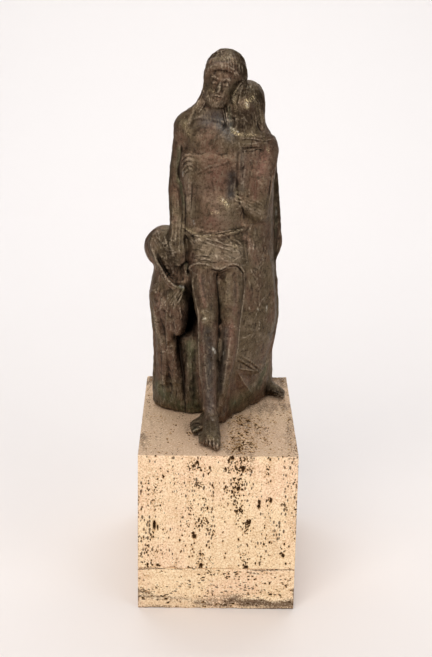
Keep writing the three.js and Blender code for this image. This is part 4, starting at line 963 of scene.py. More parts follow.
# %% The hidden sides
BACK_FOLDS = between([(-34, 30), (-30, 120), (-27, 230)], [(42, 20), (44, 80), (50, 140)], 11)
LEFT_FOLDS = between([(-52, 12), (-48, 80), (-40, 130)], [(6, 12), (8, 80), (6, 120)], 7)
RIGHT_FOLDS = between([(14, 12), (24, 90), (30, 190)], [(80, 12), (70, 90), (50, 220)], 8)
FALL = dict(profile="fold", spread=0.9, mark=0.25)

press(work, "hidden sides", [
    (BACK_FOLDS, dict(width=3.4, height=1.6, view="back", **FALL)),
    (LEFT_FOLDS, dict(width=3.0, height=1.3, view="left", **FALL)),
    (RIGHT_FOLDS, dict(width=3.0, height=1.3, view="right", **FALL)),
])

# %% [markdown]
# All the strokes were laid on the clay as it came, so none is distorted by another. They are added up at
# each point, and only now does the clay move, once, along its own normals.

# %% Move the clay
work.done()
clay.relax(times=1)
clay.store()

# %% [markdown]
# ## Wear, shelter and painted shade
#
# Patina is rubbed off what stands out and gathers where no cloth reaches, and where little open sky
# comes in the finish darkens it further as painted shade. Shader nodes can guess both, with Pointiness
# and Ambient Occlusion, but what they give hangs on the renderer and on how fine the mesh is. So two
# numbers are worked out at each point: how far it stands out from the clay around it, and how much open
# sky it sees. They are stored on the mesh, so they go where the mesh goes.

# %% Masks from the form
SKY_EVERY, SKY_RAYS, SKY_REACH = 16, 22, 60.0  # one point in so many, rays from each, mm
SKY_START = 0.6  # mm over the clay
SKY_BLUR = 6
FINE_FORM, BROAD_FORM = (3, 0.12), (30, 0.9)  # times blurred, and the mm that count as one


def standing_out(surface, times):
    """How far each point stands out from its blurred surroundings, in mm."""
    normals = surface.normals()
    return ((surface.points - surface.blurred(surface.points, times)) * normals).sum(1)


def open_sky(surface):
    """The share of rays that leave each sampled point freely, spread back to all points."""
    normals = surface.normals()
    ground = surface.tree()
    sampled = range(0, len(surface.points), SKY_EVERY)
    rays = rng.normal(size=(SKY_RAYS, 3))
    rays /= np.linalg.norm(rays, axis=1)[:, None]
    lookup = KDTree(len(sampled))
    seen = []
    for slot, k in enumerate(sampled):
        start = Vector(surface.points[k] + SKY_START * normals[k])
        facing = rays * np.sign(rays @ normals[k])[:, None]
        weights = facing @ normals[k]
        blocked = [ground.ray_cast(start, Vector(ray), SKY_REACH)[0] is not None for ray in facing]
        seen.append(weights[np.logical_not(blocked)].sum() / weights.sum())
        lookup.insert(start, slot)
    lookup.balance()
    return np.array([seen[lookup.find(point)[1]] for point in surface.points])


crest = sum(standing_out(clay, times) / size for times, size in (FINE_FORM, BROAD_FORM))
sky = clay.blurred(open_sky(clay), SKY_BLUR)[:, 0]
print("crest:", crest.std().round(2), "sky:", sky.min().round(2), sky.mean().round(2), sky.max().round(2))

# %% [markdown]
# The patina isn't even. Acids and waxes left it reddish where it was heated, green where rain stood and
# grey where it was handled. Noise alone would spread these tints anywhere, and an image would be a copy
# of the photograph. So each tint is a few soft brush strokes, set where the photograph shows it: a line
# in its pixels, a width in mm and a strength from 0 to 1.

# %% Tints of the patina
PATCHES = {}
PATCHES["warm"] = [
    ([(208, 136), (212, 160), (212, 190), (212, 222)], 17, 0.6),
    ([(266, 152), (261, 168), (256, 184), (254, 196)], 7, 0.85),
    ([(200, 278), (203, 292), (205, 306)], 3, 0.7),
    ([(236, 280), (237, 296), (234, 312)], 4, 0.4),
    ([(231, 322), (231, 334), (229, 346)], 4, 0.7),
    ([(202, 326), (203, 350), (205, 380)], 3, 0.6),
    ([(157, 296), (160, 312), (162, 330)], 6, 0.7),
    ([(151, 256), (155, 268), (160, 280)], 3, 0.7),
    ([(246, 236), (252, 250), (256, 262)], 7, 0.5),
    ([(197, 372), (200, 392)], 3, 0.5),
]
PATCHES["green"] = [
    ([(178, 286), (182, 288), (184, 292)], 2.4, 1.0),
    ([(190, 344), (192, 372), (194, 404)], 7, 0.8),
    ([(179, 150), (178, 170), (181, 190), (184, 204)], 4, 0.9),
    ([(157, 386), (168, 398), (182, 408), (196, 410)], 11, 1.0),
    ([(232, 404), (246, 394), (258, 384), (264, 370)], 12, 1.0),
    ([(229, 108), (230, 118), (232, 130)], 3, 0.8),
    ([(276, 208), (276, 220), (275, 236)], 3, 0.9),
    ([(186, 262), (188, 272)], 3, 0.8),
    ([(194, 428), (198, 432)], 4, 1.0),
]
PATCHES["slate"] = [
    ([(206, 121), (216, 117), (227, 124)], 10, 0.8),
    ([(221, 126), (230, 136)], 9, 0.7),
    ([(232, 175), (232, 184), (231, 195)], 6, 0.9),
    ([(207, 332), (210, 350), (209, 380), (210, 410)], 7, 0.7),
    ([(226, 330), (224, 352), (220, 390)], 5, 0.5),
    ([(242, 150), (243, 170), (242, 190)], 5, 0.3),
]

# %% Dark patches: dark patina, and painted shade in gaps, slits and shaded sides
# Many of these strokes are painted shade: the notch under the loincloth, the gap between his legs, the slit
# beside the skirt, the shadow under the sleeve, her face under the brow and the robe's darker right edge. The
# others darken the patina.
PATCHES["dark"] = [
    ([(233, 172), (232, 182), (230, 192)], 5, 0.5),
    ([(212, 270), (222, 271)], 2.0, 0.9),
    ([(241, 116), (242, 122), (243, 128)], 9, 1.0), ([(248, 114), (250, 124)], 6, 0.9),
    ([(204, 122), (216, 118), (228, 124)], 9, 0.4), ([(230, 176), (232, 184), (233, 192)], 9, 0.4),
    ([(198, 130), (208, 136), (216, 140)], 10, 0.55), ([(264, 152), (258, 176), (254, 196)], 8, 0.45),
    ([(187, 380), (188, 402)], 3, 0.5), ([(197, 275), (198, 300)], 6, 0.4),
    ([(212, 190), (213, 200)], 8, 0.3), ([(162, 350), (165, 372), (168, 394)], 3, 0.4),
    ([(206, 58), (206, 70)], 6, 0.6), ([(243, 60), (245, 72)], 5, 0.6), ([(250, 84), (262, 92)], 6, 0.5),
    ([(226, 400), (224, 414)], 5, 0.4),
    ([(206, 275), (207, 292), (208, 308)], 8, 0.75),
    ([(231, 277), (232, 292), (231, 310)], 6, 0.45),
    ([(208, 328), (209, 350), (211, 385)], 5, 0.4),
    ([(225, 330), (224, 355), (220, 390)], 5, 0.3),
    ([(182, 340), (183, 362), (184, 386), (185, 410)], 3.6, 0.9),
    ([(276, 172), (277, 200), (277, 230), (276, 256)], 7, 1.0),
    ([(274, 256), (275, 285), (276, 312), (273, 340), (270, 372)], 5, 0.9),
    ([(217.5, 273), (219, 310), (218.5, 350), (217, 384)], 1.6, 1.0),
    ([(244, 90), (252, 96), (256, 106)], 16, 1.0),
    ([(267, 390), (275, 392), (283, 395)], 9, 1.0),
    ([(258, 88), (262, 98), (263, 110)], 5, 0.6),
    ([(236, 92), (233, 102), (233, 112)], 5, 0.7),
    ([(187, 326), (189, 340), (190, 350)], 8, 0.7), ([(191, 356), (195, 402)], 10, 0.2),
    ([(158, 396), (168, 402), (178, 408)], 8, 0.25),
    ([(205, 418), (210, 430), (212, 444)], 8, 0.2),
    ([(195, 424), (196, 434)], 5, 0.5),
    ([(215, 104), (228, 108), (234, 118)], 4, 0.5),
    ([(262, 232), (262, 262), (262, 300), (256, 340)], 13, 0.3),
    ([(152, 232), (150, 244), (158, 262), (168, 278)], 8, 0.6),
    ([(162, 240), (170, 252), (174, 266)], 12, 0.9),
    ([(212, 56), (226, 50), (238, 56), (243, 70)], 13, 0.9),
    ([(204, 330), (206, 360), (209, 400)], 8, 0.35),
    ([(172, 150), (169, 180), (167, 210)], 6, 0.65),
]

# %% Gold, scratches and chalky patches, with painted highlights and glints among the first two
# The bright strokes are partly rubbed gold and partly painted highlights and glints, as on her head, the
# knees, the belly, the navel and the collar.
PATCHES["bright"] = [
    ([(246.5, 101), (247, 104), (247, 107)], 2.2, 1.0),
    ([(252, 97), (250, 102)], 2.0, 0.45),
    ([(186, 122), (186, 129), (188, 134)], 2.6, 0.5),
    ([(212, 212.5), (219, 213)], 1.6, 1.0),
    ([(220, 199), (224, 202), (227, 206)], 3, 0.6), ([(226, 200), (228, 207)], 2, 0.5),
    ([(232, 132), (238, 134), (245, 135), (258, 135)], 1.3, 0.8),
    ([(234, 246), (237, 247)], 2.2, 0.8),
    ([(200, 312), (205, 313)], 0.9, 1.0), ([(201, 318), (206, 319)], 0.9, 1.0),
    ([(214, 60), (226, 57), (238, 62)], 4, 0.2), ([(236, 88), (234, 98), (236, 110)], 3, 0.25),
    ([(253, 96), (258, 106), (262, 118)], 4, 0.25), ([(231, 128), (235, 132)], 2.4, 0.7),
    ([(236, 190), (238, 200)], 2.0, 0.4), ([(176, 286), (186, 290)], 1.4, 0.4),
    ([(208, 436), (214, 440)], 2.0, 0.3),
    ([(266, 307), (267, 311)], 1.5, 0.8), ([(257, 308), (258, 309)], 1.0, 0.7),
    ([(186, 228), (194, 233), (204, 236), (220, 234), (240, 230)], 1.2, 0.5),
    ([(267, 148), (269, 152)], 2.0, 0.5),
    ([(208, 89), (214, 92)], 1.8, 0.5),
    ([(157, 318), (160, 334)], 2.0, 0.3),
]
# The pale strokes are scratches, and the smallest of them painted glints, as on the knees, the belly, her
# head and the collar.
PATCHES["pale"] = [
    ([(212, 347.5), (213.5, 350)], 0.8, 1.0), ([(214.5, 351), (216, 354)], 0.7, 1.0),
    ([(223, 352), (223, 355)], 1.0, 0.9),
    ([(193, 221), (194, 223)], 1.0, 0.9),
    ([(180, 286), (183, 287)], 1.3, 0.7),
    ([(276, 210), (276, 215)], 1.0, 0.35),
    ([(183, 172), (183, 176)], 1.0, 0.5),
    ([(211, 418), (213, 420)], 1.0, 0.5),
    ([(267, 306), (266, 311)], 0.6, 0.9), ([(257, 308.5), (258, 309)], 0.5, 0.9),
    ([(246.5, 103), (247.5, 106)], 0.8, 0.7), ([(230, 127), (231, 128.5)], 0.6, 0.9),
    ([(233.5, 129), (234, 131)], 0.5, 0.8), ([(236.5, 131), (238, 132)], 0.5, 0.9),
    ([(202, 312), (205, 312.5)], 0.5, 0.6), ([(203, 318.5), (206, 319)], 0.5, 0.6),
    ([(222, 200), (223, 201)], 0.5, 0.7), ([(226, 203), (227, 205)], 0.5, 0.7),
]
PATCHES["chalky"] = [
    ([(195, 242), (212, 247), (238, 250)], 10, 0.4), ([(196, 258), (238, 258)], 6, 0.45),
    ([(206, 190), (216, 205), (222, 218)], 12, 0.35),
    ([(190, 160), (187, 180), (188, 210)], 4, 0.6),
    ([(240, 205), (252, 210), (262, 214)], 5, 0.5), ([(161, 300), (162, 320), (163, 340)], 6, 0.45),
    ([(238, 396), (248, 390), (256, 384)], 9, 0.5),
    ([(193, 272), (193.5, 290), (196, 303), (199, 318), (199.3, 340), (199.8, 365), (202, 392)], 0.8, 1.0),
    ([(244.5, 274), (244.3, 292), (242, 312), (239.5, 330), (238.5, 346), (235.5, 362)], 0.8, 1.0),
    ([(244, 352), (254, 362), (262, 370)], 4, 0.4),
    ([(250, 322), (258, 332), (264, 338)], 5, 0.35),
]

# %% [markdown]
# ## The cast
#
# The clay has more points than the cast needs. The Decimate modifier takes away those that lie flat and
# keeps the folds, where remeshing with larger cells would blur both alike. Masks go to the thinned mesh
# by nearest point, because the modifier knows nothing of them.

# %% Paint the masks and thin the mesh
MOST_TRIANGLES = 195000


def painted(patches):
    """A mask made of soft brush strokes on the clay."""
    brush = Work(clay)
    for line, width, strength in patches:
        brush.stroke(cast(line), width, strength, taper=0)
    return np.clip(brush.height, 0, 1)


def thinned(mesh, most):
    """A copy of a mesh with at most so many triangles."""
    heavy = added("thinned", mesh)
    decimate = heavy.modifiers.new("thin", "DECIMATE")
    decimate.use_collapse_triangulate = True
    mesh.calc_loop_triangles()
    decimate.ratio = min(1.0, most / len(mesh.loop_triangles))
    return evaluated(heavy)


def drop_crumbs(mesh):
    """Takes away the loose specks that the remesh can leave beside the main body."""
    skin = bmesh.new()
    skin.from_mesh(mesh)
    left = set(skin.verts)
    bodies = []
    while left:
        body = [left.pop()]
        for point in body:
            near = {edge.other_vert(point) for edge in point.link_edges} & left
            left -= near
            body.extend(near)
        bodies.append(body)
    bodies.sort(key=len)
    crumbs = [point for body in bodies[:-1] for point in body]
    bmesh.ops.delete(skin, geom=crumbs, context="VERTS")
    skin.to_mesh(mesh)
    skin.free()
    print("loose points dropped:", len(crumbs))


def carry_over(mesh, points, masks):
    """Stores masks, known at points in mm, on the nearest points of a mesh."""
    lookup = KDTree(len(points))
    for k, point in enumerate(points):
        lookup.insert(point, k)
    lookup.balance()
    nearest = [lookup.find(vertex.co / MM)[1] for vertex in mesh.vertices]
    for name, values in masks.items():
        layer = mesh.attributes.new(name, "FLOAT", "POINT")
        layer.data.foreach_set("value", values[nearest].astype(np.float32))


masks = {"crest": crest, "sky": sky, "marks": np.clip(work.marks, -1, 1)}
masks.update({name: painted(patches) for name, patches in PATCHES.items()})
bronze_mesh = thinned(clay.mesh, MOST_TRIANGLES)
drop_crumbs(bronze_mesh)
carry_over(bronze_mesh, clay.points, masks)
bronze_mesh.shade_smooth()
bronze = added("bronze_figures", bronze_mesh)
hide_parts("bronze_group")
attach(bronze, "root")
print("bronze triangles:", len(bronze_mesh.polygons), "masks:", list(masks))

# %% [markdown]
# ## Travertine
#
# Travertine is laid down by a spring in thin layers, and gas and plants leave holes along them. A mason
# chooses how the layers stand: in the block they stand upright and run from front to back, in the slab
# they lie flat. Holes cut with the Boolean modifier would be slow by the thousand. So each stone starts
# as the skin of a box in an even lattice, its edges are worn round, and each hole is pressed in as a
# small pit that is long along its layer.

# %% The skin of a stone
STONE_CELL = np.array([0.8, 1.1, 0.8])  # mm between points across, back and up
PORE_REACH = 2.0  # how far round a hole, in half widths, the finish still knows of it
ROUNDISH = 0.8  # a hole that faces along the layers is round and a little wider
SIDES = {  # name: (the axis that the side faces, 0 for its low end and 1 for its high end)
    "front": (1, 0), "back": (1, 1), "left": (0, 0), "right": (0, 1), "top": (2, 1),
}


class Stone:
    """The skin of a box as an even lattice of points in mm."""

    def __init__(self, low, high):
        self.ends = np.array([low, high]) / MM
        counts = np.round((self.ends[1] - self.ends[0]) / STONE_CELL).astype(int)
        index = np.zeros(counts + 1, np.int32)
        skin = np.ones(counts + 1, bool)
        skin[1:-1, 1:-1, 1:-1] = False
        steps = np.argwhere(skin)
        index[skin] = np.arange(len(steps))
        self.points = self.ends[0] + steps * (self.ends[1] - self.ends[0]) / counts
        sheets = []
        for axis in range(3):
            for end in (0, 1):
                sheet = index.take(-end, axis)
                quads = [sheet[:-1, :-1], sheet[1:, :-1], sheet[1:, 1:], sheet[:-1, 1:]]
                quads = np.stack(quads, axis=-1).reshape(-1, 4)
                sheets.append(quads if end != (axis == 1) else quads[:, ::-1])
        self.faces = np.vstack(sheets)
        self.pore = np.zeros(len(self.points))
        self.soil_and_shadow = np.zeros(len(self.points))
        self.sunk = np.zeros_like(self.points)
        self.lookup = KDTree(len(self.points))
        for k, point in enumerate(self.points):
            self.lookup.insert(point, k)
        self.lookup.balance()

    def wear(self, radius):
        """Rounds the edges: a point is drawn to a smaller box and let out again by its radius."""
        core = np.clip(self.points, self.ends[0] + radius[:, None], self.ends[1] - radius[:, None])
        out = self.points - core
        reach = np.linalg.norm(out, axis=1)
        self.points = core + out * (radius / np.maximum(reach, radius))[:, None]

    def pit(self, place, side, layer, size, length, depth):
        """Presses in one hole. layer is the axis that lies across the layers."""
        axis, end = SIDES[side]
        reach = PORE_REACH * size * length
        near = np.array([k for _, k, _ in self.lookup.find_range(place, reach)], int)
        if not len(near):
            return
        away = self.points[near] - place
        stretch = np.full(3, 1 / length)
        stretch[layer] = 1.0
        if axis == layer:
            stretch[:] = ROUNDISH
        far = np.linalg.norm(away * stretch, axis=1) / size
        share = np.clip(1 - far**2, 0, 1)
        inward = np.zeros(3)
        inward[axis] = 1 - 2 * end
        sink = depth * np.sqrt(share)[:, None] * inward
        deeper = np.abs(sink).sum(1) > np.abs(self.sunk[near]).sum(1)
        self.sunk[near[deeper]] = sink[deeper]
        self.pore[near] = np.maximum(self.pore[near], np.clip(1 - far / PORE_REACH, 0, 1))

    def smear(self, path, width, strength):
        """Dirt along a line on the stone, and in a few places painted shadow. It is thickest on the line and
        gone two widths away.
        """
        inside = ((self.points > path.min(0) - 2 * width) & (self.points < path.max(0) + 2 * width)).all(1)
        near = np.flatnonzero(inside)
        away = np.full(len(near), np.inf)
        for a, b in zip(path, path[1:]):
            run = b - a
            share = np.clip((self.points[near] - a) @ run / (run @ run + NEVER_ZERO), 0, 1)
            gap = self.points[near] - a - share[:, None] * run
            away = np.minimum(away, np.linalg.norm(gap, axis=1))
        self.soil_and_shadow[near] = np.maximum(self.soil_and_shadow[near], strength * np.exp(-2 * (away / width) ** 2))

    def mesh(self, name):
        """The lattice with its holes pressed in."""
        rough = bpy.data.meshes.new(name)
        rough.from_pydata(((self.points + self.sunk) * MM).tolist(), [], self.faces.tolist())
        return rough

# %% [markdown]
# The large pores of the front and the clusters on the top are landmarks: an eye that knows the stone
# looks for them. They are given as lines in the photograph's pixels, and the holes stray from these
# lines by chance. The rest of the stone, and the sides that the photograph doesn't show, get holes by
# chance alone, closer together in some layers than in others.

# %% Holes of the front and the top
HOLES_MORE, SMALLEST_HOLE = 1.8, 0.22
# Lines in the photograph's pixels, how far holes stray from them in mm, how many, and their size in mm.
FRONT_HOLES = [
    ([(190, 461), (196, 466), (198, 473)], 3.2, 26, 0.9),
    ([(191, 483), (197, 485), (204, 487)], 2.4, 14, 0.8),
    ([(190, 500), (191, 512)], 1.2, 8, 0.7), ([(203, 498), (204, 510)], 1.2, 7, 0.8),
    ([(193, 517), (200, 523), (204, 518), (201, 528)], 3.0, 32, 0.9), ([(192, 535), (197, 533)], 1.6, 9, 1.2),
    ([(212, 534), (214, 532)], 1.2, 4, 1.0), ([(202, 553), (200, 560), (202, 566)], 2.6, 16, 1.0),
    ([(232, 458), (240, 462), (245, 470)], 4.0, 34, 1.1),
    ([(226, 469), (234, 470), (242, 466)], 2.6, 14, 1.1),
    ([(238, 478), (236, 488), (235, 500)], 4.2, 60, 0.95), ([(235, 504), (240, 518)], 3.2, 32, 0.9),
    ([(243, 526), (248, 522), (247, 530), (252, 536)], 2.6, 26, 1.0),
    ([(244, 552), (245, 568)], 1.8, 16, 0.9),
    ([(268, 464), (267, 474), (265, 478), (270, 485)], 1.6, 14, 0.7), ([(258, 506), (260, 500)], 0.8, 5, 1.1),
    ([(264, 502), (270, 499), (271, 503)], 0.8, 7, 0.9), ([(284, 505), (287, 510)], 1.8, 7, 0.8),
    ([(281, 548), (283, 556)], 1.8, 6, 1.0), ([(295, 478), (296, 510), (294, 540)], 1.2, 24, 0.8),
    ([(144, 558), (148, 566), (162, 567)], 1.6, 16, 0.9), ([(152, 478), (154, 508)], 3.0, 34, 0.6),
    ([(146, 476), (147, 512)], 1.6, 14, 0.6), ([(160, 468), (161, 512)], 1.4, 14, 0.55),
    ([(150, 540), (153, 536)], 1.2, 4, 0.8), ([(150, 550), (164, 552)], 3.4, 18, 0.6),
    ([(172, 470), (178, 478), (180, 500)], 2.6, 18, 0.6), ([(206, 560), (212, 556)], 2.0, 6, 0.6),
]
TOP_HOLES = [
    ([(244, 417), (244, 432), (240, 452)], 9.0, 220, 1.8),
    ([(256, 418), (262, 432), (264, 450)], 8.0, 70, 1.5),
    ([(230, 440), (236, 450)], 5.0, 30, 1.5), ([(272, 402), (278, 420)], 9.0, 30, 1.3),
    ([(276, 380), (284, 400), (290, 446)], 6.0, 34, 1.3), ([(148, 378), (158, 380)], 3.0, 12, 1.3),
    ([(158, 414), (164, 420)], 5.0, 16, 1.3), ([(150, 430), (146, 450)], 4.0, 14, 1.1),
    ([(180, 440), (176, 452)], 8.0, 16, 1.0), ([(151, 386), (148, 410)], 3.0, 14, 1.1),
]
LARGE_HOLES = [  # pixel, half width, length and depth in mm
    ((154.3, 525.5), 1.5, 3.6, 4.0), ((157.6, 527.5), 0.8, 4.0, 2.4), ((243, 469), 2.0, 1.5, 3.0),
    ((232.5, 458.5), 1.9, 1.0, 2.6), ((225.5, 469.3), 1.3, 1.0, 2.4), ((259, 506.8), 1.4, 1.8, 2.6),
    ((270.8, 501.2), 1.2, 2.0, 2.2), ((246, 567.6), 2.2, 1.0, 2.6), ((194.5, 537), 2.0, 1.0, 2.4),
    ((201, 565.5), 2.0, 1.2, 2.4), ((197.4, 462.5), 1.4, 1.5, 2.2), ((283, 555.8), 1.7, 1.2, 2.0),
    ((249, 522.6), 1.8, 1.1, 2.2), ((238.3, 489), 1.9, 1.2, 2.4), ((163.2, 477), 0.7, 3.0, 1.6),
]
print("lines of holes:", len(FRONT_HOLES), "and", len(TOP_HOLES), "large holes:", len(LARGE_HOLES))

# %% Holes of the slab, and dirt with some painted shadow
SLAB_HOLES = [
    ([(264, 583), (270, 583)], 1.0, 5, 1.1), ([(226, 577), (228, 578)], 1.0, 3, 1.1),
    ([(204, 594), (214, 594)], 1.6, 8, 0.8), ([(242, 587), (262, 592), (280, 588)], 3.0, 18, 0.7),
    ([(150, 588), (162, 587)], 2.6, 9, 0.6), ([(182, 587), (196, 589), (222, 588)], 2.0, 14, 0.6),
    ([(205, 571), (218, 573), (232, 573)], 1.8, 22, 0.6),
    ([(278, 574), (286, 584), (290, 590)], 2.4, 10, 0.9),
    ([(140, 589), (150, 594)], 1.4, 8, 0.7), ([(160, 571), (166, 572)], 0.8, 4, 0.6),
]
# Lines in the photograph's pixels, the width of the smear in mm and how thick it lies, from 0 to 1. Most
# smears are dirt, a few are painted shadow.
FRONT_DIRT_AND_SHADOW = [
    ([(138, 569), (160, 568.6), (182, 569)], 0.9, 1.0), ([(182, 569), (214, 570), (246, 570)], 0.8, 0.35),
    ([(246, 570), (270, 570.3), (294, 570)], 0.9, 1.0), ([(249, 572.5), (258, 574)], 1.4, 0.6),
    ([(138, 591), (148, 593), (160, 596.5), (176, 598), (191, 599.5)], 3.2, 0.6),
    ([(139, 595), (150, 597), (164, 599), (180, 602)], 3.0, 0.45),
    ([(208, 597), (226, 596), (244, 594)], 2.6, 0.35),
    ([(197, 602), (206, 604), (215, 603)], 7.0, 0.7), ([(226, 602), (236, 600), (243, 603)], 8.0, 0.8),
    ([(244, 603), (262, 602), (270, 604), (293, 603)], 8.0, 0.85), ([(215, 605), (228, 605)], 4.0, 0.7),
    # The second smear on the next line, along the slab's foot, is painted shadow where the slab meets the
    # floor.
    ([(138, 606.5), (170, 607), (200, 607.5)], 3.4, 0.65), ([(138, 609), (170, 609.5), (293, 609)], 2.2, 1.0),
    ([(137.5, 588), (137.5, 604)], 2.0, 0.8), ([(294, 590), (294, 606)], 2.2, 0.8),
    ([(137, 460), (137, 560)], 1.6, 0.35), ([(298, 458), (296, 560)], 2.0, 0.4),
]
TOP_DIRT_AND_SHADOW = [
    ([(236, 420), (246, 434), (240, 450)], 30, 0.4), ([(256, 404), (268, 410), (280, 406)], 30, 0.4),
    ([(274, 384), (278, 376), (272, 372)], 22, 0.9), ([(146, 382), (150, 378), (156, 376)], 14, 0.7),
    ([(142, 420), (141, 436), (139, 450)], 16, 0.35), ([(288, 420), (293, 440), (296, 454)], 20, 0.35),
    # The two smears on the next line, beside the feet, are painted shadow.
    ([(200, 436), (196, 430), (190, 424)], 12, 0.5), ([(226, 446), (222, 452)], 12, 0.4),
]
print("lines of dirt:", len(FRONT_DIRT_AND_SHADOW) + len(TOP_DIRT_AND_SHADOW))

# %% Drill and riddle
HOLE_WIDTHS, HOLE_DEPTHS = (0.2, 0.55), (1.2, 2.2)  # in sizes of the line, in widths of the hole
LONGEST_HOLE = {"front": 1.8, "top": 1.1}  # in widths
CHANCE_WIDTHS, CHANCE_LENGTHS, CHANCE_DEPTHS = (0.4, 0.8), (1.0, 2.2), (1.0, 2.0)  # mm, then in widths
ALONG_LAYERS = 0.14  # how slowly the crowding changes along a layer
CROWD_SIZE, FEWEST = 8.0, 0.03  # mm, and the least share of holes that is kept
CROWDING, BARENESS = 1.6, 0.05  # how far the noise fills a layer with holes, and empties the others
CROWD_WIDER = 0.6  # how much wider a hole can be in a crowded layer
SHORTEST_HOLE = 1.0  # in widths


def on_side(stone, side, across, down):
    """Where a pixel's line of sight meets one side of a stone, in mm."""
    axis, end = SIDES[side]
    start, ahead = sightline("photo", across, down)
    run = (stone.ends[end][axis] - start[axis]) / ahead[axis]
    return np.array(start + ahead * run)


def drill(stone, side, layer, holes):
    """Pits scattered along lines that were set in the photograph."""
    axis = SIDES[side][0]
    for line, stray, count, size in holes:
        guide = smooth_line(line, GUIDE_STEP)
        for k in rng.integers(len(guide), size=round(HOLES_MORE * count)):
            place = on_side(stone, side, *guide[k]) + rng.normal(0, stray, 3) * (np.arange(3) != axis)
            width = SMALLEST_HOLE + size * rng.uniform(*HOLE_WIDTHS)
            length = rng.uniform(SHORTEST_HOLE, LONGEST_HOLE[side])
            stone.pit(place, side, layer, width, length, width * rng.uniform(*HOLE_DEPTHS))


def riddle(stone, side, layer, count, seed):
    """Pits scattered by chance, closer together in some layers than in others."""
    axis, end = SIDES[side]
    places = rng.uniform(*stone.ends, (count, 3))
    places[:, axis] = stone.ends[end][axis]
    along = np.full(3, ALONG_LAYERS)
    along[layer] = 1.0
    crowd = layered_noise(places * along, CROWD_SIZE, seed, 2)
    for place, share in zip(places, crowd):
        if rng.random() < np.clip(CROWDING * share - BARENESS, FEWEST, 1):
            width = rng.uniform(*CHANCE_WIDTHS) * (1 + CROWD_WIDER * max(0, share) * rng.random())
            length = rng.uniform(*CHANCE_LENGTHS)
            stone.pit(place, side, layer, width, length, width * rng.uniform(*CHANCE_DEPTHS))

# %% The block and the slab
ACROSS, UP = 0, 2  # the axis across the layers: upright layers in the block, flat ones in the slab
EDGE_WORN, EDGE_UNEVEN, CHIP = 0.7, 0.8, 5.2  # mm
EDGE_SIZE, CHIP_SIZE, CHIP_SEED = 9.0, 14.0, 40  # mm between uneven places, mm between chips
MOST_CALM, CHIP_FROM = -0.6, 0.55  # parts of the noise: the least, and where it breaks off a chip
MOST_STONE = 190000
BLOCK_SEED, SLAB_SEED = 50, 60
# How many holes are tried by chance on each side.
BLOCK_CHANCE = {"front": 500, "back": 1800, "left": 2000, "right": 2000, "top": 1100}
SLAB_CHANCE = {"front": 200, "back": 560, "left": 760, "right": 760}
DIRT_STEP, DIRT_MARGIN = 4.0, 2.0  # pixels between the points of a smear, mm past a stone's end


def worn_edges(stone, seed):
    """Rounds the edges unevenly and breaks small chips off them."""
    rough = layered_noise(stone.points, EDGE_SIZE, seed, 3)
    chips = np.clip(layered_noise(stone.points, CHIP_SIZE, seed + CHIP_SEED, 2) - CHIP_FROM, 0, 1)
    stone.wear(EDGE_WORN + EDGE_UNEVEN * np.clip(rough, MOST_CALM, 1) + CHIP * chips)


def soil_and_shadow(stone, side, lines):
    """Smears of dirt and painted shadow that belong to this stone. The joint's dirt lies on both."""
    for line, width, strength in lines:
        path = np.array([on_side(stone, side, *pixel) for pixel in smooth_line(line, DIRT_STEP)])
        if stone.ends[0][2] - DIRT_MARGIN < path[:, 2].mean() < stone.ends[1][2] + DIRT_MARGIN:
            stone.smear(path, width, strength)


def carved_stone(name, low, high, layer, marked, chance, seed):
    """A stone with its dirt and painted shadow, its holes and its worn edges, as one thinned mesh."""
    stone = Stone(low, high)
    soil_and_shadow(stone, "front", FRONT_DIRT_AND_SHADOW)
    if "top" in marked:
        soil_and_shadow(stone, "top", TOP_DIRT_AND_SHADOW)
    for side, holes in marked.items():
        drill(stone, side, layer, holes)
    for side, count in chance.items():
        riddle(stone, side, layer, count, seed)
    for (across, down), width, length, depth in LARGE_HOLES:
        place = on_side(stone, "front", across, down)
        if stone.ends[0][2] < place[2] < stone.ends[1][2]:
            stone.pit(place, "front", layer, width, length, depth)
    worn_edges(stone, seed)
    thin = thinned(stone.mesh(name), MOST_STONE)
    carry_over(thin, stone.points + stone.sunk, {"pore": stone.pore, "soil_and_shadow": stone.soil_and_shadow})
    thin.shade_smooth()
    print(name, "triangles:", len(thin.polygons))
    return added(name, thin)


block = carved_stone("porous_block", block_low, block_high, ACROSS,
                     {"front": FRONT_HOLES, "top": TOP_HOLES}, BLOCK_CHANCE, BLOCK_SEED)
slab = carved_stone("porous_slab", slab_low, slab_high, UP,
                    {"front": SLAB_HOLES}, SLAB_CHANCE, SLAB_SEED)
for made, node in ((block, "travertine_block"), (slab, "travertine_slab")):
    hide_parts(node)
    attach(made, "root")

# %% [markdown]
# ## Finishes
#
# A finish is a tree of nodes: noises and masks choose between colours, and the shader turns them into
# bronze or stone. Photographs of patina and travertine could be wrapped round the pieces, but they would
# stretch and repeat, and noise made of nodes fits any side. Small helpers keep the trees short: one makes
# a node and sets its sockets, and each of the others is one kind of node that the finishes use often.

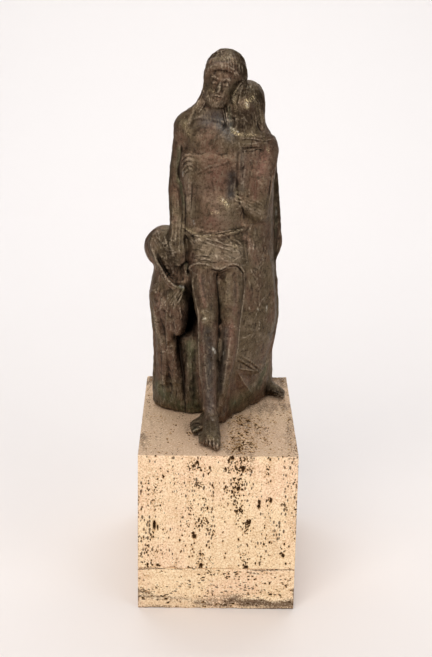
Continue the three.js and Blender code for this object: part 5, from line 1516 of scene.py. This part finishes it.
# %% Helpers for node trees
class Nodes:
    """Makes the nodes of one tree. A value may be a number, a colour or another node's output."""

    def __init__(self, tree):
        self.tree = tree

    def add(self, kind, settings=None, **sockets):
        made = self.tree.nodes.new(kind)
        for name, value in (settings or {}).items():
            setattr(made, name, value)
        for name, value in sockets.items():
            self.feed(made.inputs[name.replace("_", " ")], value)
        return made

    def feed(self, socket, value):
        if isinstance(value, bpy.types.NodeSocket):
            self.tree.links.new(value, socket)
        else:
            socket.default_value = value

    def noise(self, vector, scale, detail=3.0, roughness=0.55):
        made = self.add("ShaderNodeTexNoise", Scale=scale, Detail=detail, Roughness=roughness, Vector=vector)
        return made.outputs["Fac"]

    def stretched(self, vector, by):
        made = self.add("ShaderNodeMapping", Vector=vector, Scale=by)
        return made.outputs["Vector"]

    def steps(self, value, low, high):
        """0 below low, 1 above high and smooth between."""
        made = self.add("ShaderNodeMapRange", {"interpolation_type": "SMOOTHSTEP"}, Value=value)
        made.inputs["From Min"].default_value = low
        made.inputs["From Max"].default_value = high
        return made.outputs["Result"]

    def sum(self, how, first, second):
        """A Math node with two inputs."""
        made = self.add("ShaderNodeMath", {"operation": how})
        self.feed(made.inputs[0], first)
        self.feed(made.inputs[1], second)
        return made.outputs[0]

    def times(self, first, second):
        return self.sum("MULTIPLY", first, second)

    def scaled(self, value, by, plus=0.0):
        made = self.add("ShaderNodeMath", {"operation": "MULTIPLY_ADD"})
        self.feed(made.inputs[0], value)
        self.feed(made.inputs[1], by)
        self.feed(made.inputs[2], plus)
        return made.outputs[0]

    def mix(self, share, first, second):
        """The first colour where share is 0, the second where it is 1."""
        made = self.add("ShaderNodeMix", {"data_type": "RGBA"})
        self.feed(made.inputs[0], share)
        self.feed(made.inputs[6], first)
        self.feed(made.inputs[7], second)
        return made.outputs[2]

    def share(self, mask, noise, low, high):
        """A mask broken up by a noise."""
        return self.times(mask, self.steps(noise, low, high))

    def mask(self, name):
        """A number that is stored at the points of the mesh."""
        return self.add("ShaderNodeAttribute", {"attribute_name": name}).outputs["Fac"]

    def place(self):
        return self.add("ShaderNodeTexCoord").outputs["Object"]


def fresh_material(name):
    """A material with nothing in it but the shader and its way out."""
    material = bpy.data.materials.new(name)
    material.use_nodes = True
    material.node_tree.nodes.clear()
    nodes = Nodes(material.node_tree)
    shader = nodes.add("ShaderNodeBsdfPrincipled")
    end = nodes.add("ShaderNodeOutputMaterial")
    material.node_tree.links.new(shader.outputs["BSDF"], end.inputs["Surface"])
    return material, nodes, shader

# %% [markdown]
# ## The patina
#
# Bronze under a dark patina is brown, not golden, and only rubbed edges let the metal through. A painted
# brown with gloss would look like plastic, because in metal the highlights take the colour of the
# surface. So the shader stays mostly metallic, and its colour is built up in layers as the patina was:
# two browns in clouds, the tints, the dark of mottles, patches and hollows, part of it painted shade,
# and last the rubbed and bright places, which are rubbed gold and painted highlights and glints.

# %% Colours of the patina
OLIVE, BROWN, RED_BROWN = linear(98, 84, 64), linear(106, 82, 66), linear(128, 90, 77)
GREEN, GREY, DEEP = linear(86, 90, 66), linear(136, 120, 100), linear(46, 36, 28)
SLATE = linear(84, 83, 83)
# Of the three colours on the next line, the middle one is dark patina in hollows and painted shade.
CHALKY, SHELTERED_AND_SHADED, RUBBED = linear(154, 136, 116), linear(26, 20, 14), linear(184, 168, 146)
# The next two are rubbed gold and scratches, and also painted highlights and glints.
GOLD_AND_GLINT, SCRATCH_AND_GLINT_WHITE = linear(248, 226, 176), linear(236, 232, 220)
STREAKED = (1.0, 1.0, 0.28)  # the noise of the streaks is drawn out downwards, as cloth and limbs are
# A mask, the noise that breaks it up, between which values the noise does so, and the tint.
TINTS = [
    ("warm", "mottled", 0.25, 0.6, RED_BROWN),
    ("green", "speckled", 0.2, 0.6, GREEN),
    ("slate", "mottled", 0.2, 0.55, SLATE),
    ("chalky", "mottled", 0.3, 0.6, CHALKY),
]
# A noise or a mask, where its layer starts and where it is full, its strength and its colour.
LAYERS = [
    ("mottled", 0.5, 0.68, 0.5, GREY),
    # Dark patches of patina, and painted shade.
    ("dark", None, None, 0.75, DEEP),
    ("mottled", 0.48, 0.34, 0.6, DEEP),
    ("speckled", 0.5, 0.36, 0.45, DEEP),
    ("fine", 0.46, 0.38, 0.25, DEEP),
    ("streaks", 0.54, 0.66, 0.45, GREY),
    ("crest", -0.5, -3.0, 1.0, DEEP),
    ("marks", -0.1, -0.6, 0.8, DEEP),
    # Little open sky: patina in the hollows, deepened into painted shade.
    ("sky", 0.6, 0.15, 0.95, SHELTERED_AND_SHADED),
]
print("tints and layers of the patina:", len(TINTS) + len(LAYERS))

# %% Build the patina
RUBBED_SHARE, RUBBED_IN_DARK = 0.75, -0.55
GRAIN_DEPTH = 0.0007  # metres
# What is the same all over the surface, set on the shader's own sockets.
PATINA_GLOSS = {"Specular IOR Level": 0.45, "Specular Tint": linear(186, 178, 170),
                "Coat Weight": 0.06, "Coat Roughness": 0.15}


def patina_sources(nodes):
    """The noises, from broad to fine, and the masks that are stored on the mesh, by name."""
    place = nodes.place()
    return {
        "cloudy": nodes.noise(place, 30, 3),
        "mottled": nodes.noise(place, 170, 5, 0.65),
        "speckled": nodes.noise(place, 520, 4, 0.7),
        "fine": nodes.noise(place, 1100, 3, 0.7),
        "streaks": nodes.noise(nodes.stretched(place, STREAKED), 620, 3, 0.6),
        **{name: nodes.mask(name) for name in masks},
    }


def patina_ground(nodes, given):
    """Browns, tints and darks: the patina before any of it is rubbed off."""
    colour = nodes.mix(nodes.steps(given["cloudy"], 0.4, 0.6), OLIVE, BROWN)
    for mask, noise, low, high, tint in TINTS:
        colour = nodes.mix(nodes.share(given[mask], given[noise], low, high), colour, tint)
    for source, start, full, strength, tone in LAYERS:
        amount = given[source] if start is None else nodes.steps(given[source], start, full)
        colour = nodes.mix(nodes.times(amount, strength), colour, tone)
    return colour


def rubbed_off(nodes, given):
    """Where hands and cloths reach: crests and raised marks under open sky, less so in dark patches and in
    painted shade.
    """
    raised = nodes.share(nodes.steps(given["marks"], 0.08, 0.6), given["speckled"], 0.36, 0.64)
    edges = nodes.share(nodes.steps(given["crest"], 0.8, 3.2), given["speckled"], 0.4, 0.66)
    reached = nodes.times(nodes.sum("MAXIMUM", edges, raised), nodes.steps(given["sky"], 0.2, 0.6))
    return nodes.times(reached, nodes.scaled(given["dark"], RUBBED_IN_DARK, 1.0))


def bronze_finish():
    material, nodes, shader = fresh_material("dark_patina")
    given = patina_sources(nodes)
    colour = patina_ground(nodes, given)
    colour = nodes.mix(nodes.times(rubbed_off(nodes, given), RUBBED_SHARE), colour, RUBBED)
    # Gold where the patina is rubbed through, and painted highlights and glints.
    gilt_and_glint = nodes.share(given["bright"], given["fine"], 0.5, 0.6)
    colour = nodes.mix(gilt_and_glint, colour, GOLD_AND_GLINT)
    # Near white for scratches and for painted glints.
    colour = nodes.mix(nodes.share(given["pale"], given["speckled"], 0.3, 0.5), colour, SCRATCH_AND_GLINT_WHITE)
    nodes.feed(shader.inputs["Base Color"], colour)
    # More metallic where gold and glints are painted, and in dark patina and painted shade.
    more_metallic = nodes.sum("MAXIMUM", gilt_and_glint, given["dark"])
    nodes.feed(shader.inputs["Metallic"], nodes.scaled(more_metallic, 0.25, 0.72))
    nodes.feed(shader.inputs["Roughness"], nodes.scaled(given["speckled"], 0.5, 0.09))
    for name, value in PATINA_GLOSS.items():
        shader.inputs[name].default_value = value
    grain = nodes.sum("ADD", nodes.times(given["fine"], 0.7), nodes.times(given["speckled"], 1.8))
    grain = nodes.sum("ADD", grain, given["streaks"])
    bump = nodes.add("ShaderNodeBump", Strength=0.5, Distance=GRAIN_DEPTH, Height=grain)
    nodes.feed(shader.inputs["Normal"], bump.outputs["Normal"])
    print("nodes of the patina:", len(nodes.tree.nodes))
    return material


bronze_mesh.materials.clear()
bronze_mesh.materials.append(bronze_finish())

# %% [markdown]
# ## The stone's finish
#
# Sawn travertine is cream and tan in thin layers, with brown in its holes and grey dust where water
# leaves it. Block and slab are the same stone, laid differently. Two copies of the tree would drift apart
# with every change, so the pattern is one node group, and each stone's own material turns it and says
# where dust, dirt and holes are. The same grey darkens the whole top of the block as dust and painted
# shade, and a few of the smears of dirt are painted shadow. The stored masks give the large holes their
# brown, and a cell noise adds the smallest, which are too fine for the mesh.

# %% Travertine's pattern
CREAM, ROSY, TAN = linear(248, 219, 179), linear(246, 210, 176), linear(218, 180, 138)
PALE, VEIN = linear(254, 237, 206), linear(196, 156, 114)
PORE_RIM, PORE_BROWN = linear(192, 148, 92), linear(62, 38, 10)
# The grey is dust, and on the block's top also painted shade; the dark brown is dirt, and in a few smears
# painted shadow.
GREY_DUST_AND_SHADE, FOOT_DIRT_AND_SHADOW = linear(194, 164, 137), linear(110, 88, 68)
FLATTENED, DRAWN_OUT = (0.18, 0.18, 1.0), (0.5, 0.5, 1.0)  # layers and tiny holes are long sideways
PATTERN_INPUTS = {"Vector": "NodeSocketVector", "Dust": "NodeSocketFloat", "Soil": "NodeSocketFloat",
                  "Pore": "NodeSocketFloat"}
PATTERN_OUTPUTS = {"Color": "NodeSocketColor", "Height": "NodeSocketFloat"}


def stone_pattern():
    """Colour and small relief that the block and the slab share. Its layers lie across Z."""
    group = bpy.data.node_groups.new("stone_pattern", "ShaderNodeTree")
    for name, kind in PATTERN_INPUTS.items():
        group.interface.new_socket(name, in_out="INPUT", socket_type=kind)
    for name, kind in PATTERN_OUTPUTS.items():
        group.interface.new_socket(name, in_out="OUTPUT", socket_type=kind)
    nodes = Nodes(group)
    given = nodes.add("NodeGroupInput").outputs
    flat = nodes.stretched(given["Vector"], FLATTENED)
    layers = nodes.noise(flat, 110, 5, 0.6)
    clouds = nodes.noise(given["Vector"], 16, 2)
    fine = nodes.noise(given["Vector"], 620, 4, 0.75)
    ragged = nodes.noise(given["Vector"], 900, 2, 0.6)
    cells = nodes.add("ShaderNodeTexVoronoi", Scale=460.0,
                      Vector=nodes.stretched(given["Vector"], DRAWN_OUT))
    chance = nodes.add("ShaderNodeSeparateColor", Color=cells.outputs["Color"]).outputs["Red"]
    crowd = nodes.steps(nodes.noise(flat, 75, 4), 0.38, 0.64)
    wide = nodes.sum("SUBTRACT", nodes.scaled(crowd, 0.4, 0.14), nodes.scaled(chance, 0.5))
    colour = nodes.mix(nodes.steps(clouds, 0.42, 0.62), CREAM, ROSY)
    colour = nodes.mix(nodes.times(nodes.steps(layers, 0.48, 0.7), 0.55), colour, TAN)
    colour = nodes.mix(nodes.times(nodes.steps(fine, 0.51, 0.61), 0.8), colour, VEIN)
    colour = nodes.mix(nodes.times(nodes.steps(fine, 0.48, 0.38), 0.9), colour, PALE)
    # Dust, and on the block's top painted shade that makes the whole top darker than the front.
    dusty_and_shaded = nodes.times(given["Dust"], nodes.steps(fine, 0.15, 0.6))
    colour = nodes.mix(dusty_and_shaded, colour, GREY_DUST_AND_SHADE)
    soiled_and_shadowed = nodes.sum("ADD", given["Soil"], nodes.scaled(nodes.sum("ADD", fine, layers), 2.4, -2.4))
    soiled_and_shadowed = nodes.times(nodes.steps(soiled_and_shadowed, 0.1, 1.0), nodes.steps(given["Soil"], 0.0, 0.3))
    # Dirt, and in a few smears painted shadow.
    colour = nodes.mix(soiled_and_shadowed, colour, FOOT_DIRT_AND_SHADOW)
    tiny = nodes.steps(nodes.sum("SUBTRACT", wide, cells.outputs["Distance"]), -0.05, 0.05)
    rim = nodes.sum("ADD", given["Pore"], nodes.scaled(ragged, 0.5, -0.25))
    holes = nodes.sum("MAXIMUM", nodes.steps(rim, 0.48, 0.6), nodes.times(tiny, 0.85))
    colour = nodes.mix(nodes.times(nodes.steps(rim, 0.25, 0.5), 0.55), colour, PORE_RIM)
    colour = nodes.mix(holes, colour, PORE_BROWN)
    print("nodes of the pattern:", len(group.nodes))
    end = nodes.add("NodeGroupOutput")
    nodes.feed(end.inputs["Color"], colour)
    nodes.feed(end.inputs["Height"], nodes.sum("SUBTRACT", fine, nodes.times(holes, 1.5)))
    return group

# %% A finish for each stone
STONE_GLOSS = {"Roughness": 0.8, "Specular IOR Level": 0.25}
STONE_GRAIN = 0.0006  # metres
# The grey on the block's top is dust and painted shade: it makes the whole top darker than the front.
TOP_EDGE = (block_high.z - 0.0008, block_high.z - 0.0003)  # metres, where the dust of the top begins
FOOT_EDGE, FOOT_DUST = (0.014, 0.004), 0.35  # metres over the table, where the dust of the foot ends
FOOT_DRIFT = 0.03  # metres that the dust's edge goes up and down


def stone_finish(name, pattern, upright):
    """upright turns the pattern, so that its layers stand instead of lying flat."""
    material, nodes, shader = fresh_material(name)
    place = nodes.place()
    turned = nodes.add("ShaderNodeMapping", Vector=place, Rotation=(0, math.pi / 2 if upright else 0, 0))
    height = nodes.add("ShaderNodeSeparateXYZ", Vector=place).outputs["Z"]
    drift = nodes.times(nodes.sum("SUBTRACT", nodes.noise(place, 22, 3), 0.5), FOOT_DRIFT)
    # The whole top gets the grey of dust and painted shade.
    top = nodes.steps(height, *TOP_EDGE)
    foot = nodes.times(nodes.steps(nodes.sum("ADD", height, drift), *FOOT_EDGE), FOOT_DUST)
    made = nodes.add("ShaderNodeGroup", {"node_tree": pattern}, Vector=turned.outputs["Vector"],
                     Dust=nodes.sum("MAXIMUM", top, foot), Soil=nodes.mask("soil_and_shadow"), Pore=nodes.mask("pore"))
    nodes.feed(shader.inputs["Base Color"], made.outputs["Color"])
    for socket, value in STONE_GLOSS.items():
        shader.inputs[socket].default_value = value
    bump = nodes.add("ShaderNodeBump", Strength=0.5, Distance=STONE_GRAIN, Height=made.outputs["Height"])
    nodes.feed(shader.inputs["Normal"], bump.outputs["Normal"])
    return material


pattern = stone_pattern()
block.data.materials.append(stone_finish("upright_travertine", pattern, True))
slab.data.materials.append(stone_finish("flat_travertine", pattern, False))


def paper_finish():
    material, _, shader = fresh_material("paper")
    shader.inputs["Base Color"].default_value = linear(234, 228, 226)
    shader.inputs["Roughness"].default_value = 0.9
    return material


paper.data.materials.append(paper_finish())
